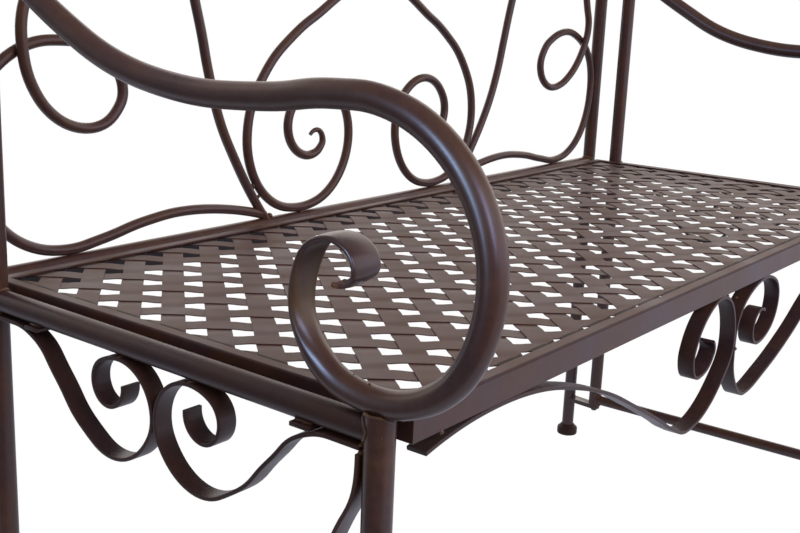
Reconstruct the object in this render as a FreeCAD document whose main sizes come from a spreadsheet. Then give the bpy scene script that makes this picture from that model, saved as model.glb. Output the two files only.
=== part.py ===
import FreeCAD, Part
import math
import os

Vector = FreeCAD.Vector
UP = Vector(0, 0, 1)
DOWN = Vector(0, 0, -1)
ACROSS = Vector(1, 0, 0)
BACKWARD = Vector(0, 1, 0)
SIDES = (("left", -1), ("right", 1))

doc = FreeCAD.newDocument("garden_bench")

# Driving dimensions in millimetres. The bench stands on z = 0 and its front looks along -y.
# Depths with "behind" in the name are counted from the axis of the front legs. The side frames stand turned
# inwards about the front legs by toe_in, and the weave lies turned by strip_skew, both in degrees.
DIMENSIONS = {
    "seat_height": 442, "seat_length": 1001, "seat_depth": 421, "seat_front_behind": -11.5,
    "frame_height": 20.5, "flange_width": 10, "frame_wall": 1.5,
    "strip_width": 17.5, "strip_thick": 0.8, "strip_step_x": 21.07, "strip_step_y": 24.63,
    "strip_flat": 20, "strip_shift_x": 4.96, "strip_shift_y": -9.44, "strip_skew": -0.65,
    "side_plane": 517, "leg_depth": -184,
    "leg_dia": 19, "tube_dia": 17.5, "stretcher_dia": 14.5, "rod_dia": 9.5,
    "bar_width": 15, "bar_thick": 3,
    "post_behind": 385.5, "upright_behind": 431.5, "toe_in": 0.7,
    "rail_height": 431.6, "stretcher_height": 70, "post_bottom": 62, "post_top": 724, "upright_top": 732,
    "crown_height": 872, "leg_top": 443,
    "foot_dia": 31, "foot_height": 11, "foot_shoulder": 5, "foot_floor": 4, "foot_lip": 1.5,
    "lug_thick": 6, "lug_width": 16, "bolt_dia": 6, "bolt_head_dia": 11, "bolt_head": 4.5, "bolt_grip": 20,
    "seat_lug_behind": 56, "seat_lug_width": 16, "seat_lug_thick": 3, "seat_lug_reach": 22,
    "press_width": 24.4, "press_rise": 2.3, "press_dish": -1, "press_rim": 1.7, "press_tip": 13,
}

sheet = doc.addObject("Spreadsheet::Sheet", "dims")
for row, (alias, value) in enumerate(DIMENSIONS.items(), start=1):
    sheet.set(f"A{row}", alias)
    sheet.set(f"B{row}", str(value))
    sheet.setAlias(f"B{row}", alias)
doc.recompute()

nodes = []


def size(alias):
    return float(getattr(sheet, alias))


def depth(behind):
    """y of a place given by its distance behind the front legs' axis."""
    return size("leg_depth") + behind


def keep(obj, name):
    """Makes obj a piece of the bench under the given name."""
    obj.Label = name
    nodes.append(obj)
    return obj


def bind(obj, **expressions):
    for name, expression in expressions.items():
        obj.setExpression(name, expression)
    return obj


def cylinder(dia, length, base, direction):
    """Round bar: dia and length are expressions on the sheet."""
    obj = bind(doc.addObject("Part::Cylinder", "Round"), Radius=f"({dia}) / 2", Height=length)
    obj.Placement = FreeCAD.Placement(base, FreeCAD.Rotation(UP, direction))
    return obj


def box(length, width, height, corner):
    obj = bind(doc.addObject("Part::Box", "Block"), Length=length, Width=width, Height=height)
    obj.Placement = FreeCAD.Placement(corner, FreeCAD.Rotation())
    return obj


def cut(base, *tools):
    """base with each tool's solid taken out of it, as a tube's end is coped to fit the next tube."""
    for tool in tools:
        result = doc.addObject("Part::Cut", "Coped")
        result.Base = base
        result.Tool = tool
        base = result
    return base


def fuse(first, second):
    result = doc.addObject("Part::Fuse", "Joined")
    result.Base = first
    result.Tool = second
    return result


# Bent work. A bend line is a list of points (a, b) in the plane of the bend, with a heading in degrees as a
# third value where the line's direction is known. Between the points it runs in pairs of tangent arcs.

def wrapped(angle):
    return math.atan2(math.sin(angle), math.cos(angle))


def headings(points):
    """Direction of the line at each point: the given one, or that of the circle through its neighbours."""
    chords = [math.atan2(q[1] - p[1], q[0] - p[0]) for p, q in zip(points, points[1:])]
    lengths = [math.dist(p[:2], q[:2]) for p, q in zip(points, points[1:])]
    found = [None] * len(points)
    for i in range(1, len(points) - 1):
        share = lengths[i - 1] / (lengths[i - 1] + lengths[i])
        found[i] = chords[i - 1] + share * wrapped(chords[i] - chords[i - 1])
    for i, point in enumerate(points):
        if len(point) == 3:
            found[i] = math.radians(point[2])
    if found[0] is None:
        found[0] = 2 * chords[0] - found[1]
    if found[-1] is None:
        found[-1] = 2 * chords[-1] - found[-2]
    return found


class Arc:
    """Arc that leaves point p in direction start and ends in point q."""

    def __init__(self, p, start, q):
        self.p, self.q, self.start = p, q, start
        chord = math.atan2(q[1] - p[1], q[0] - p[0])
        self.turn = 2 * wrapped(chord - start)
        self.end = start + self.turn
        self.chord = math.dist(p, q)
        self.straight = abs(self.turn) < 1e-4
        self.length = self.chord
        if not self.straight:
            self.radius = self.chord / (2 * math.sin(self.turn / 2))
            self.length = self.radius * self.turn

    def point(self, fraction):
        if self.straight:
            return tuple(a + fraction * (b - a) for a, b in zip(self.p, self.q))
        now = self.start + fraction * self.turn
        return (self.p[0] + self.radius * (math.sin(now) - math.sin(self.start)),
                self.p[1] - self.radius * (math.cos(now) - math.cos(self.start)))

    def heading(self, fraction):
        return self.start + fraction * self.turn

    def beside(self, fraction, offset):
        """Point at the given distance to the left of the line."""
        a, b = self.point(fraction)
        now = self.heading(fraction)
        return a - offset * math.sin(now), b + offset * math.cos(now)

    def edge(self, place, offset=0):
        first, middle, last = (place(*self.beside(f, offset)) for f in (0, 0.5, 1))
        if self.straight:
            return Part.LineSegment(first, last).toShape()
        return Part.Arc(first, middle, last).toShape()


def bend_line(points):
    arcs = []
    found = headings(points)
    for p, q, start, end in zip(points, points[1:], found, found[1:]):
        reach = (q[0] - p[0], q[1] - p[1])
        along = (math.cos(start) + math.cos(end), math.sin(start) + math.sin(end))
        dot = reach[0] * along[0] + reach[1] * along[1]
        square = reach[0] ** 2 + reach[1] ** 2
        spread = 2 * (1 - math.cos(end - start))
        if spread < 1e-6:
            lead = square / (2 * dot)
        else:
            lead = (math.sqrt(dot ** 2 + spread * square) - dot) / spread
        meeting = ((p[0] + q[0] + lead * (math.cos(start) - math.cos(end))) / 2,
                   (p[1] + q[1] + lead * (math.sin(start) - math.sin(end))) / 2)
        first = Arc(p[:2], start, meeting)
        arcs += [first, Arc(meeting, first.end, q[:2])]
    return arcs


def swept(dia, edges):
    """Round rod or tube of the sheet's diameter along a chain of tangent edges."""
    path = doc.addObject("Part::Feature", "Path")
    path.Shape = Part.Wire(edges)
    first = path.Shape.Edges[0]
    ring = bind(doc.addObject("Part::Circle", "Section"), Radius=f"dims.{dia} / 2")
    turn = FreeCAD.Rotation(UP, first.tangentAt(first.FirstParameter))
    ring.Placement = FreeCAD.Placement(first.valueAt(first.FirstParameter), turn)
    obj = doc.addObject("Part::Sweep", "Swept")
    obj.Sections = [ring]
    obj.Spine = (path, [])
    obj.Solid = True
    obj.Frenet = False
    return obj


def flat_bar(arcs, place, direction):
    """Flat bar bent on edge: its thickness lies about the bend line, its width along direction."""
    half = size("bar_thick") / 2
    near = [arc.edge(place, -half) for arc in arcs]
    far = [arc.edge(place, half) for arc in arcs]
    ends = [Part.LineSegment(place(*arc.beside(f, -half)), place(*arc.beside(f, half))).toShape()
            for arc, f in ((arcs[0], 0), (arcs[-1], 1))]
    outline = doc.addObject("Part::Feature", "Outline")
    outline.Shape = Part.Face(Part.Wire(Part.sortEdges(near + far + ends)[0]))
    obj = bind(doc.addObject("Part::Extrusion", "Bar"), LengthFwd="dims.bar_width")
    obj.Base = outline
    obj.DirMode = "Custom"
    obj.Dir = direction
    obj.Solid = True
    return obj


# Seat panel: four angle bars mitred at the corners, flange inwards, and the woven strips below the flange.

def seat_bar(name, length, centre, turn):
    """Mitred angle bar whose outer face passes through centre."""
    blank = bind(doc.addObject("Part::Wedge", "Blank"),
                 Xmin=f"-{length} / 2", Xmax=f"{length} / 2", Ymin="0", Ymax="dims.flange_width", Zmin="0",
                 X2min=f"-{length} / 2 + dims.flange_width", X2max=f"{length} / 2 - dims.flange_width",
                 Zmax="dims.frame_height", Z2min="0", Z2max="dims.frame_height")
    hollow = box(length, "dims.flange_width", "dims.frame_height - dims.frame_wall", Vector())
    rotation = FreeCAD.Rotation(UP, turn)
    blank.Placement = FreeCAD.Placement(centre, rotation)
    corner = rotation.multVec(Vector(-size(length.replace("dims.", "")) / 2, size("frame_wall"), 0))
    hollow.Placement = FreeCAD.Placement(centre + corner, rotation)
    keep(cut(blank, hollow), name)


def seat_frame():
    base = size("seat_height") - size("frame_height")
    front = depth(size("seat_front_behind"))
    middle = front + size("seat_depth") / 2
    half = size("seat_length") / 2
    seat_bar("seat_frame_front", "dims.seat_length", Vector(0, front, base), 0)
    seat_bar("seat_frame_back", "dims.seat_length", Vector(0, front + size("seat_depth"), base), 180)
    seat_bar("seat_frame_left", "dims.seat_depth", Vector(-half, middle, base), -90)
    seat_bar("seat_frame_right", "dims.seat_depth", Vector(half, middle, base), 90)


def woven_strip(centre, angle, pitch, crossings, raised):
    """One strip through centre: level where it crosses others, stepping up and down in the gaps between.

    It lies on top at every second crossing, those with the remainder raised when halved.
    """
    half_flat = size("strip_flat") / 2
    half_thick = size("strip_thick") / 2
    line = []
    for k in crossings:
        level = half_thick if k % 2 == raised else -half_thick
        line += [(k * pitch - half_flat, level), (k * pitch + half_flat, level)]
    top = [Vector(s, 0, level + half_thick) for s, level in line]
    bottom = [Vector(s, 0, level - half_thick) for s, level in reversed(line)]
    face = Part.Face(Part.makePolygon(top + bottom + top[:1]))
    face.translate(Vector(0, -size("strip_width") / 2, 0))
    strip = face.extrude(Vector(0, size("strip_width"), 0))
    strip.Placement = FreeCAD.Placement(centre, FreeCAD.Rotation(UP, angle))
    return strip


def seat_weave():
    """Strips on both diagonals in plain weave, trimmed to the inside of the frame."""
    step_x, step_y = size("strip_step_x"), size("strip_step_y")
    pitch = math.hypot(step_x, step_y)
    slope = math.degrees(math.atan2(step_y, step_x))
    inner_x = size("seat_length") / 2 - size("frame_wall")
    inner_y = size("seat_depth") / 2 - size("frame_wall")
    middle = Vector(0, depth(size("seat_front_behind")) + size("seat_depth") / 2,
                    size("seat_height") - size("frame_wall") - size("strip_thick"))
    room = Part.makeBox(2 * inner_x, 2 * inner_y, 4 * size("strip_thick"),
                        middle - Vector(inner_x, inner_y, 2 * size("strip_thick")))
    origin = middle + Vector(size("strip_shift_x"), size("strip_shift_y"), 0)
    skew = FreeCAD.Rotation(UP, size("strip_skew"))
    columns = int(inner_x / step_x) + 2
    rows = int(inner_y / step_y) + 2
    smallest = size("strip_width") ** 2 * size("strip_thick") / 4
    for name, sign, raised in (("seat_strips_rising", 1, 1), ("seat_strips_falling", -1, 0)):
        strips = []
        for pair in range(-(columns + rows) // 2, (columns + rows) // 2 + 1):
            inside = [k for k in range(-rows, rows + 1) if abs(2 * pair + k) <= columns]
            if len(inside) < 2:
                continue
            centre = origin + skew.multVec(Vector(2 * pair * step_x, 0, 0))
            strip = woven_strip(centre, sign * slope + size("strip_skew"), pitch, inside, raised)
            strips += [s for s in strip.common(room).Solids if s.Volume > smallest]
        group = doc.addObject("Part::Feature", "Strips")
        group.Shape = Part.makeCompound(strips)
        keep(group, name)


# Side frames: front leg, arm with its pressed and rolled end, rear post, rails, scrolls, brace, seat lugs.
# Each is drawn square behind its front leg and then turned inwards about that leg.

ARM_FRONT = [(44, 620.7), (10, 620.5), (-22.5, 610), (-63.5, 566), (-69.5, 515), (-43.5, 466),
             (3.5, 449.1, 0), (47.5, 464)]
ARM_LINES = {
    "left": [(385.5, 708), (300, 651.6), (234.5, 623.6), (169, 612.5), (94, 614.4)] + ARM_FRONT,
    "right": [(385.5, 715), (310, 666.6), (243.8, 632.9), (169, 617.1), (94, 617)] + ARM_FRONT,
}
ARM_ROLL = [(63.5, 500), (35, 540.7, 180), (14.6, 525, -90), (22.5, 516.2), (35, 513)]
BRACE_LINE = [(11, 416, -90), (13, 392), (27.5, 360), (53.5, 300), (63.5, 255, -90), (53.5, 205),
              (26.5, 150), (11, 110, -90)]
SIDE_SCROLL = [(33.5, 420.5, 0), (59.5, 413), (83.5, 389.5), (109.5, 362), (146.5, 345.5, 0), (178.5, 359.5)]
SIDE_CURL = [(127.5, 400.5, -90), (143.5, 383.5, 0), (160.5, 402.5)]
PRESS_SECTIONS = 10


def toed(obj, side):
    """Turns a piece of the side frame inwards about the front leg."""
    leg = Vector(side * size("side_plane"), depth(0), 0)
    obj.Placement = FreeCAD.Placement(Vector(), FreeCAD.Rotation(UP, side * size("toe_in")), leg)
    return obj


def toed_place(side, behind):
    """Place on the floor at the given distance behind the leg in the turned side frame."""
    turn = math.radians(size("toe_in"))
    return Vector(side * (size("side_plane") - behind * math.sin(turn)), depth(behind * math.cos(turn)), 0)


def in_side(side):
    """Maps a bend line's (behind, height) into the side frame's plane before it is turned."""
    return lambda behind, height: Vector(side * size("side_plane"), depth(behind), height)


def press_section(arcs, fraction, side):
    """Outline of the arm tube as it is pressed: round at 0, a dished strap later, narrow at its tip."""
    total = sum(arc.length for arc in arcs)
    left = fraction * total
    for arc in arcs:
        if left <= arc.length or arc is arcs[-1]:
            break
        left -= arc.length
    share = min(1, left / arc.length)
    place = in_side(side)
    radius = size("tube_dia") / 2
    first_rim = radius * 0.3
    first_shoulder = math.sqrt(radius ** 2 - first_rim ** 2)
    flat = min(1, 2.2 * fraction)
    tip = max(0, 6 * fraction - 5) * (size("press_width") - size("press_tip")) / 2
    half = radius + flat * (size("press_width") / 2 - radius) - tip
    rim = first_rim + flat * (size("press_rim") - first_rim)
    shoulder = first_shoulder + flat * (size("press_width") / 2 - size("press_rim") - first_shoulder) - tip
    rise = radius + flat * (size("press_rise") - radius)
    dish = -radius + flat * (size("press_dish") + radius)

    def at(across, outward):
        return place(*arc.beside(share, -outward)) + Vector(across, 0, 0)

    ring = [((-shoulder, rim), (0, rise), (shoulder, rim)),
            ((shoulder, rim), (half, 0), (shoulder, -rim)),
            ((shoulder, -rim), (0, dish), (-shoulder, -rim)),
            ((-shoulder, -rim), (-half, 0), (-shoulder, rim))]
    section = doc.addObject("Part::Feature", "PressSection")
    section.Shape = Part.Wire([Part.Arc(*(at(*p) for p in three)).toShape() for three in ring])
    return section


def arm(side_name, side):
    """Arm tube from the rear post over the front scroll, ending in the pressed roll."""
    arcs = bend_line(ARM_LINES[side_name] + ARM_ROLL)
    tube_arcs = 2 * (len(ARM_LINES[side_name]) - 1)
    tube = swept("tube_dia", [arc.edge(in_side(side)) for arc in arcs[:tube_arcs]])
    roll = doc.addObject("Part::Loft", "Roll")
    roll.Sections = [press_section(arcs[tube_arcs:], k / PRESS_SECTIONS, side)
                     for k in range(PRESS_SECTIONS + 1)]
    roll.Solid = True
    return fuse(tube, roll)


def side_scroll(name, side, start, mirrored):
    """Flat-bar scroll under the side rail. The rear one is the front one turned about the rail's middle."""
    middle = size("post_behind") / 2
    half = size("bar_thick") / 2
    top = size("rail_height") - size("tube_dia") / 2 - half
    contacts = [(middle - half, 386.5, 90), (156.5, top, 180)]
    line = [(start, SIDE_SCROLL[0][1])] + SIDE_SCROLL + contacts + SIDE_CURL
    place = in_side(side)
    shift = Vector(-size("bar_width") / 2, 0, 0)

    def seat(behind, height):
        return place(2 * middle - behind if mirrored else behind, height) + shift

    keep(toed(flat_bar(bend_line(line), seat, ACROSS), side), name)


def seat_lug(name, side, behind):
    """Joggled lug: its outer end lies under the side rail, its inner end a step lower, under the seat."""
    under_rail = size("rail_height") - size("tube_dia") / 2
    under_seat = size("seat_height") - size("frame_height")
    thick = size("seat_lug_thick")
    outer = abs(toed_place(side, behind).x) + size("tube_dia") / 2
    edge = size("seat_length") / 2
    bend = edge + 2 * thick
    inner = edge - size("seat_lug_reach")
    outline = [(outer, under_rail), (bend, under_rail), (edge, under_seat), (inner, under_seat),
               (inner, under_seat - thick), (edge, under_seat - thick), (bend, under_rail - thick),
               (outer, under_rail - thick)]
    points = [Vector(side * x, depth(behind) - size("seat_lug_width") / 2, z) for x, z in outline]
    profile = doc.addObject("Part::Feature", "LugProfile")
    profile.Shape = Part.Face(Part.makePolygon(points + points[:1]))
    lug = bind(doc.addObject("Part::Extrusion", "Lug"), LengthFwd="dims.seat_lug_width")
    lug.Base = profile
    lug.DirMode = "Custom"
    lug.Dir = BACKWARD
    lug.Solid = True
    keep(lug, name)


def side_frame(side_name, side):
    x = side * size("side_plane")
    post_y = depth(size("post_behind"))
    post = cylinder("dims.tube_dia", "dims.post_top - dims.post_bottom",
                    Vector(x, post_y, size("post_bottom")), UP)
    sockets = [cylinder("dims.bolt_dia", "dims.bolt_grip", Vector(x, post_y, z), way)
               for z, way in ((size("post_bottom"), UP), (size("post_top"), DOWN))]
    the_arm = keep(toed(cut(arm(side_name, side), post), side), f"arm_{side_name}")
    leg = cylinder("dims.leg_dia", "dims.leg_top - dims.foot_floor",
                   Vector(x, depth(0), size("foot_floor")), UP)
    keep(toed(cut(post, *sockets), side), f"rear_post_{side_name}")
    keep(cut(leg, the_arm), f"front_leg_{side_name}")
    for part, dia, height in (("side_rail", "tube_dia", "rail_height"),
                              ("lower_stretcher", "stretcher_dia", "stretcher_height")):
        blank = cylinder(f"dims.{dia}", "dims.post_behind", Vector(x, depth(0), size(height)), BACKWARD)
        keep(toed(cut(blank, leg, post), side), f"{part}_{side_name}")
    side_scroll(f"side_scroll_front_{side_name}", side, size("leg_dia") / 2, False)
    side_scroll(f"side_scroll_rear_{side_name}", side, size("tube_dia") / 2, True)
    place = in_side(side)
    shift = Vector(-size("bar_width") / 2, 0, 0)
    brace = flat_bar(bend_line(BRACE_LINE), lambda a, b: place(a, b) + shift, ACROSS)
    keep(toed(brace, side), f"leg_brace_{side_name}")
    seat_lug(f"seat_lug_front_{side_name}", side, size("seat_lug_behind"))
    seat_lug(f"seat_lug_rear_{side_name}", side, size("post_behind") - size("seat_lug_behind"))


# Back frame: two uprights that are also the rear legs, a bottom rail, an arched top rail and scroll rods.
# Rod points are (distance from the middle, height above the seat). Bent by hand, the two sides differ.

TOP_RAIL = [(452, 818, 164)]
HEART_LINE = [(72, 421), (30, 372), (4.75, 300, -90), (40, 241), (85, 211.3), (126.3, 188), (167, 154.6),
              (195.2, 102), (195.5, 66.5), (181, 34), (157.3, 13.6), (117, 4.75, 180), (72.3, 17.7),
              (46.2, 51.3), (41.5, 76, 90), (59.3, 118.3), (94, 132.4, 0), (124.7, 120.2), (138.5, 92, -90),
              (122, 63.5), (103.8, 59), (88.4, 67), (85.5, 77), (90, 87)]
LYRE_LINES = {
    "left": [(168, -4), (197, 36), (212.7, 62), (232, 98.7), (249.6, 154), (258, 189.5), (264.5, 213),
             (286, 290), (336, 402)],
    "right": [(168, -4), (197, 35), (221.5, 70.4), (237.2, 98.4), (252, 135.6), (262, 172), (271, 205),
              (300, 290), (336, 402)],
}
WAVE_LINES = {
    "left": [(177, 4.8), (217.8, 14.6), (286.4, 21.5, 0), (329, 17.8), (374.8, 9), (408, 4.75, 0),
             (447.4, 12.2), (464.3, 21.7), (496, 66), (503.5, 106, 90), (470, 167), (424, 183, 180),
             (372, 172), (350, 138, -90)],
    "right": [(179.5, 8.5), (227.5, 18.9), (281, 23.2, 0), (329.4, 19), (374.6, 10), (408, 4.75, 0),
              (449.3, 12), (477.7, 31.6), (497, 64), (503.5, 104, 90), (485, 155), (458, 174),
              (424, 183, 180), (390, 176), (367.6, 161.7), (358, 140, -90)],
}
LOOP_LINES = {
    "left": [(350, 138, -90), (361.3, 117.6), (387.6, 108.5, 0), (412.6, 113.5), (433.8, 127.3),
             (449, 148.2), (457.5, 190, 90)],
    "right": [(358, 140, -90), (364.5, 121), (390.3, 108, 0), (411.4, 112.5), (428, 122.5),
              (452.4, 150), (466.5, 192, 90)],
}
TAIL_LINES = {
    "left": [(457.5, 190, 90), (445, 236), (420, 300), (388, 392.5)],
    "right": [(466.5, 192, 90), (459.5, 220), (437, 290), (388, 392.5)],
}
LOOP_CLEARANCE = 0.3


def in_back(side):
    """Maps a rod's (out, above the seat) into the plane of the back."""
    return lambda out, above: Vector(side * out, depth(size("upright_behind")), size("seat_height") + above)


def wave_rod(side_name, side):
    """Rod that waves along the bottom rail, loops over itself beside the upright and rises to the top rail.

    The loop swings forward about its outer end so that it passes in front of the wave, and the tail swings
    back to the plane of the back.
    """
    place = in_back(side)
    wave, loop, tail = (lines[side_name] for lines in (WAVE_LINES, LOOP_LINES, TAIL_LINES))
    hinge, knee, end = loop[0][0], tail[0][0], tail[-1][0]
    shift = size("rod_dia") + LOOP_CLEARANCE
    forward = math.asin(shift / (knee - hinge))
    back = math.asin(shift / (knee - end))

    def in_loop(out, above):
        reach = out - hinge
        return place(hinge + reach * math.cos(forward), above) - BACKWARD * (reach * math.sin(forward))

    def in_tail(out, above):
        reach = knee - out
        start = in_loop(knee, above)
        return start + Vector(-side * reach * math.cos(back), reach * math.sin(back), 0)

    edges = [arc.edge(where) for line, where in ((wave, place), (loop, in_loop), (tail, in_tail))
             for arc in bend_line(line)]
    return swept("rod_dia", edges)


def back_frame():
    y = depth(size("upright_behind"))
    half = size("side_plane")
    uprights = {}
    for side_name, side in SIDES:
        foot = Vector(side * half, y, size("foot_floor"))
        uprights[side_name] = keep(cylinder("dims.tube_dia", "dims.upright_top - dims.foot_floor", foot, UP),
                                   f"back_upright_{side_name}")
    rail_z = size("seat_height") - size("tube_dia") / 2
    blank = cylinder("dims.tube_dia", "2 * dims.side_plane", Vector(-half, y, rail_z), ACROSS)
    bottom = keep(cut(blank, *uprights.values()), "back_bottom_rail")
    right_half = [(half, size("upright_top"), 90)] + TOP_RAIL
    left_half = [(-a, b, 360 - heading) for a, b, heading in reversed(right_half)]
    crown = (0, size("crown_height") - size("tube_dia") / 2, 180)
    arch = bend_line(right_half + [crown] + left_half)
    top = keep(swept("tube_dia", [arc.edge(lambda a, b: Vector(a, y, b)) for arc in arch]), "back_top_rail")
    for side_name, side in SIDES:
        place = in_back(side)
        lyre = swept("rod_dia", [arc.edge(place) for arc in bend_line(LYRE_LINES[side_name])])
        heart = swept("rod_dia", [arc.edge(place) for arc in bend_line(HEART_LINE)])
        lyre = keep(cut(lyre, bottom, top), f"back_lyre_rod_{side_name}")
        keep(cut(heart, top), f"back_heart_rod_{side_name}")
        keep(cut(wave_rod(side_name, side), lyre, top), f"back_wave_rod_{side_name}")


# Bolted joints between the back and the side frames: a lug on each upright at both ends of the rear post.

def bolted_lugs():
    bolts = []
    for side_name, side in SIDES:
        post = toed_place(side, size("post_behind"))
        foot = Vector(side * size("side_plane"), depth(size("upright_behind")), 0)
        reach = FreeCAD.Rotation(BACKWARD, foot - post)
        upright = cylinder("dims.tube_dia", "dims.upright_top", foot, UP)
        for part, face, way in (("lower", size("post_bottom"), DOWN), ("upper", size("post_top"), UP)):
            base = post + UP * min(face, face + way.z * size("lug_thick"))
            plate = box("dims.lug_width", "dims.upright_behind - dims.post_behind", "dims.lug_thick", base)
            corner = reach.multVec(Vector(-size("lug_width") / 2, 0, 0))
            plate.Placement = FreeCAD.Placement(base + corner, reach)
            eye = cylinder("dims.lug_width", "dims.lug_thick", base, UP)
            hole = cylinder("dims.bolt_dia", "dims.lug_thick", base, UP)
            keep(cut(fuse(plate, eye), upright, hole), f"{part}_lug_{side_name}")
            under = post + UP * (face + way.z * size("lug_thick"))
            head = cylinder("dims.bolt_head_dia", "dims.bolt_head", under, way)
            shank = cylinder("dims.bolt_dia", "dims.lug_thick + dims.bolt_grip", under, way * -1)
            bolts.append(fuse(head, shank))
    group = doc.addObject("Part::Compound", "Bolts")
    group.Links = bolts
    keep(group, "frame_bolts")


# Front apron: two flat-bar scrolls that hang from the seat frame's front bar and meet in the middle.
# Points are (distance from the middle, height), counted negative outwards. Bent by hand, the two differ.

APRON_RISE = [(-486, 411), (-450, 417.5), (-405, 420, 0), (-350, 415.5)]
APRON_LINES = {
    "left": APRON_RISE + [(-300, 403.3), (-250, 385.6), (-200, 361), (-150, 334.3), (-125, 320.2),
                          (-91, 308, 0), (-32, 329), (-1.5, 372, 90), (-40, 420, 180), (-71, 408.4),
                          (-88, 388.5), (-92.6, 373.5, -90), (-77.5, 354.3, 0), (-50.5, 366),
                          (-46.8, 373.5, 90), (-51, 381.5)],
    "right": APRON_RISE + [(-295, 402), (-227, 375), (-159, 342), (-100, 321), (-41, 308.5, 0), (-9, 332),
                           (-1.5, 372, 90), (-66, 420, 180), (-107, 391, -90), (-62, 355, 0), (-46, 368),
                           (-73, 386)],
}


def front_apron():
    front = depth(size("seat_front_behind"))
    for side_name, side in SIDES:
        bar = flat_bar(bend_line(APRON_LINES[side_name]), lambda a, b: Vector(-side * a, front, b), BACKWARD)
        keep(bar, f"front_scroll_{side_name}")


# Feet: moulded cups pushed on the leg ends.

def feet():
    rear = size("upright_behind")
    for part, behind, dia in (("front_foot", 0, "leg_dia"), ("rear_foot", rear, "tube_dia")):
        for side_name, side in SIDES:
            base = Vector(side * size("side_plane"), depth(behind), 0)
            cup = cylinder("dims.foot_dia", "dims.foot_height", base, UP)
            shoulder = bind(doc.addObject("Part::Cone", "Shoulder"), Radius1="dims.foot_dia / 2",
                            Radius2=f"dims.{dia} / 2 + dims.foot_lip", Height="dims.foot_shoulder")
            shoulder.Placement = FreeCAD.Placement(base + UP * size("foot_height"), FreeCAD.Rotation())
            socket = cylinder(f"dims.{dia}", "dims.foot_height + dims.foot_shoulder",
                              base + UP * size("foot_floor"), UP)
            keep(cut(fuse(cup, shoulder), socket), f"{part}_{side_name}")


seat_frame()
seat_weave()
for name_of_side, sign_of_side in SIDES:
    side_frame(name_of_side, sign_of_side)
back_frame()
bolted_lugs()
front_apron()
feet()
doc.recompute()

for obj in doc.Objects:
    if {"Invalid", "Error"} & set(obj.State):
        raise RuntimeError(f"{obj.Label} failed: {obj.State}")
for obj in nodes:
    if obj.Shape.isNull() or not obj.Shape.isValid() or not obj.Shape.Solids:
        raise RuntimeError(f"{obj.Label} has no valid solid")

os.makedirs("parts", exist_ok=True)
for obj in nodes:
    obj.Shape.exportStep(f"parts/{obj.Label}.step")
whole = FreeCAD.BoundBox()
for obj in nodes:
    whole.add(obj.Shape.BoundBox)
print(f"{len(nodes)} pieces, box {whole}")
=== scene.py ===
# %% [markdown]
# # A metal garden bench
# The bench is welded from round tube, thin rod and flat bar, with a seat of woven steel strip. The packed
# CAD model gives every place and size. This lesson dresses it: each tube, rod, bar and strip is drawn
# again along the same bend lines with round, smooth sections, welds are laid on the joints, and the coat
# gets its finish.

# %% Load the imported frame
import math
import random
import bmesh
import bpy
from mathutils import Matrix, Vector


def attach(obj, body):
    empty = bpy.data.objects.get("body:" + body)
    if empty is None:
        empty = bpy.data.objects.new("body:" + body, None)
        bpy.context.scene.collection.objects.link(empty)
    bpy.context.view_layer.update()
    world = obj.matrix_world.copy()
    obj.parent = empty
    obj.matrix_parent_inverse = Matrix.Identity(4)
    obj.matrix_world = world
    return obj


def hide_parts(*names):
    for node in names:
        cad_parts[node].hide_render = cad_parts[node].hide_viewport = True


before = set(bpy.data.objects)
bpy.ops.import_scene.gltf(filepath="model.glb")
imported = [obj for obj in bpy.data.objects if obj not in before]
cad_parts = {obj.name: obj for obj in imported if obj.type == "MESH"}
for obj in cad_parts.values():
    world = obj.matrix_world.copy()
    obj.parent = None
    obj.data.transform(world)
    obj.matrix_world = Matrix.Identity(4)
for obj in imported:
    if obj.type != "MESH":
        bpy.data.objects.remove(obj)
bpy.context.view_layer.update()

MM = 0.001

# %% [markdown]
# ## The camera
# The photograph was taken from the bench's front left, a little above the arm and slightly rolled. Its
# lens and place follow from the vanishing points of the seat's edges, so they are plain numbers here.

# %% Set up the camera
EYE = Vector((-999.8, -561.0, 682.0)) * MM
HEADING = math.radians(52.717)
PITCH = math.radians(13.967)
ROLL = math.radians(-2.365)
FOCAL_PX = 1140.09
IMAGE_WIDTH_PX = 800
SENSOR_MM = 36
FARTHEST_SEEN = 500


def placed(name, data):
    """New object of the scene, at the origin."""
    obj = bpy.data.objects.new(name, data)
    bpy.context.scene.collection.objects.link(obj)
    return obj


forward = Vector((math.sin(HEADING) * math.cos(PITCH), math.cos(HEADING) * math.cos(PITCH),
                  -math.sin(PITCH)))
level_right = Vector((math.cos(HEADING), -math.sin(HEADING), 0))
level_down = forward.cross(level_right)
image_right = level_right * math.cos(ROLL) + level_down * math.sin(ROLL)
image_down = level_down * math.cos(ROLL) - level_right * math.sin(ROLL)
lens = bpy.data.cameras.new("camera")
lens.sensor_width = SENSOR_MM
lens.lens = FOCAL_PX / IMAGE_WIDTH_PX * SENSOR_MM
lens.clip_end = FARTHEST_SEEN
camera = placed("camera", lens)
camera.matrix_world = Matrix((image_right, -image_down, -forward)).transposed().to_4x4()
camera.location = EYE
bpy.context.scene.camera = camera
print("lens in mm:", round(lens.lens, 1))

# %% [markdown]
# ## Nodes and colours
# Every material and every Geometry Nodes tree below is built by one small function that adds a node, gives
# it its settings, and sets or links its inputs. Colours are written as the hex values seen on a screen and
# turned to the linear values that light is computed with.

# %% Helpers for nodes and colours


def linear(code):
    """RGBA in linear light of an sRGB hex code."""
    parts = [int(code[i:i + 2], 16) / 255 for i in (1, 3, 5)]
    return [c / 12.92 if c <= 0.04045 else ((c + 0.055) / 1.055) ** 2.4 for c in parts] + [1]


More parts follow.
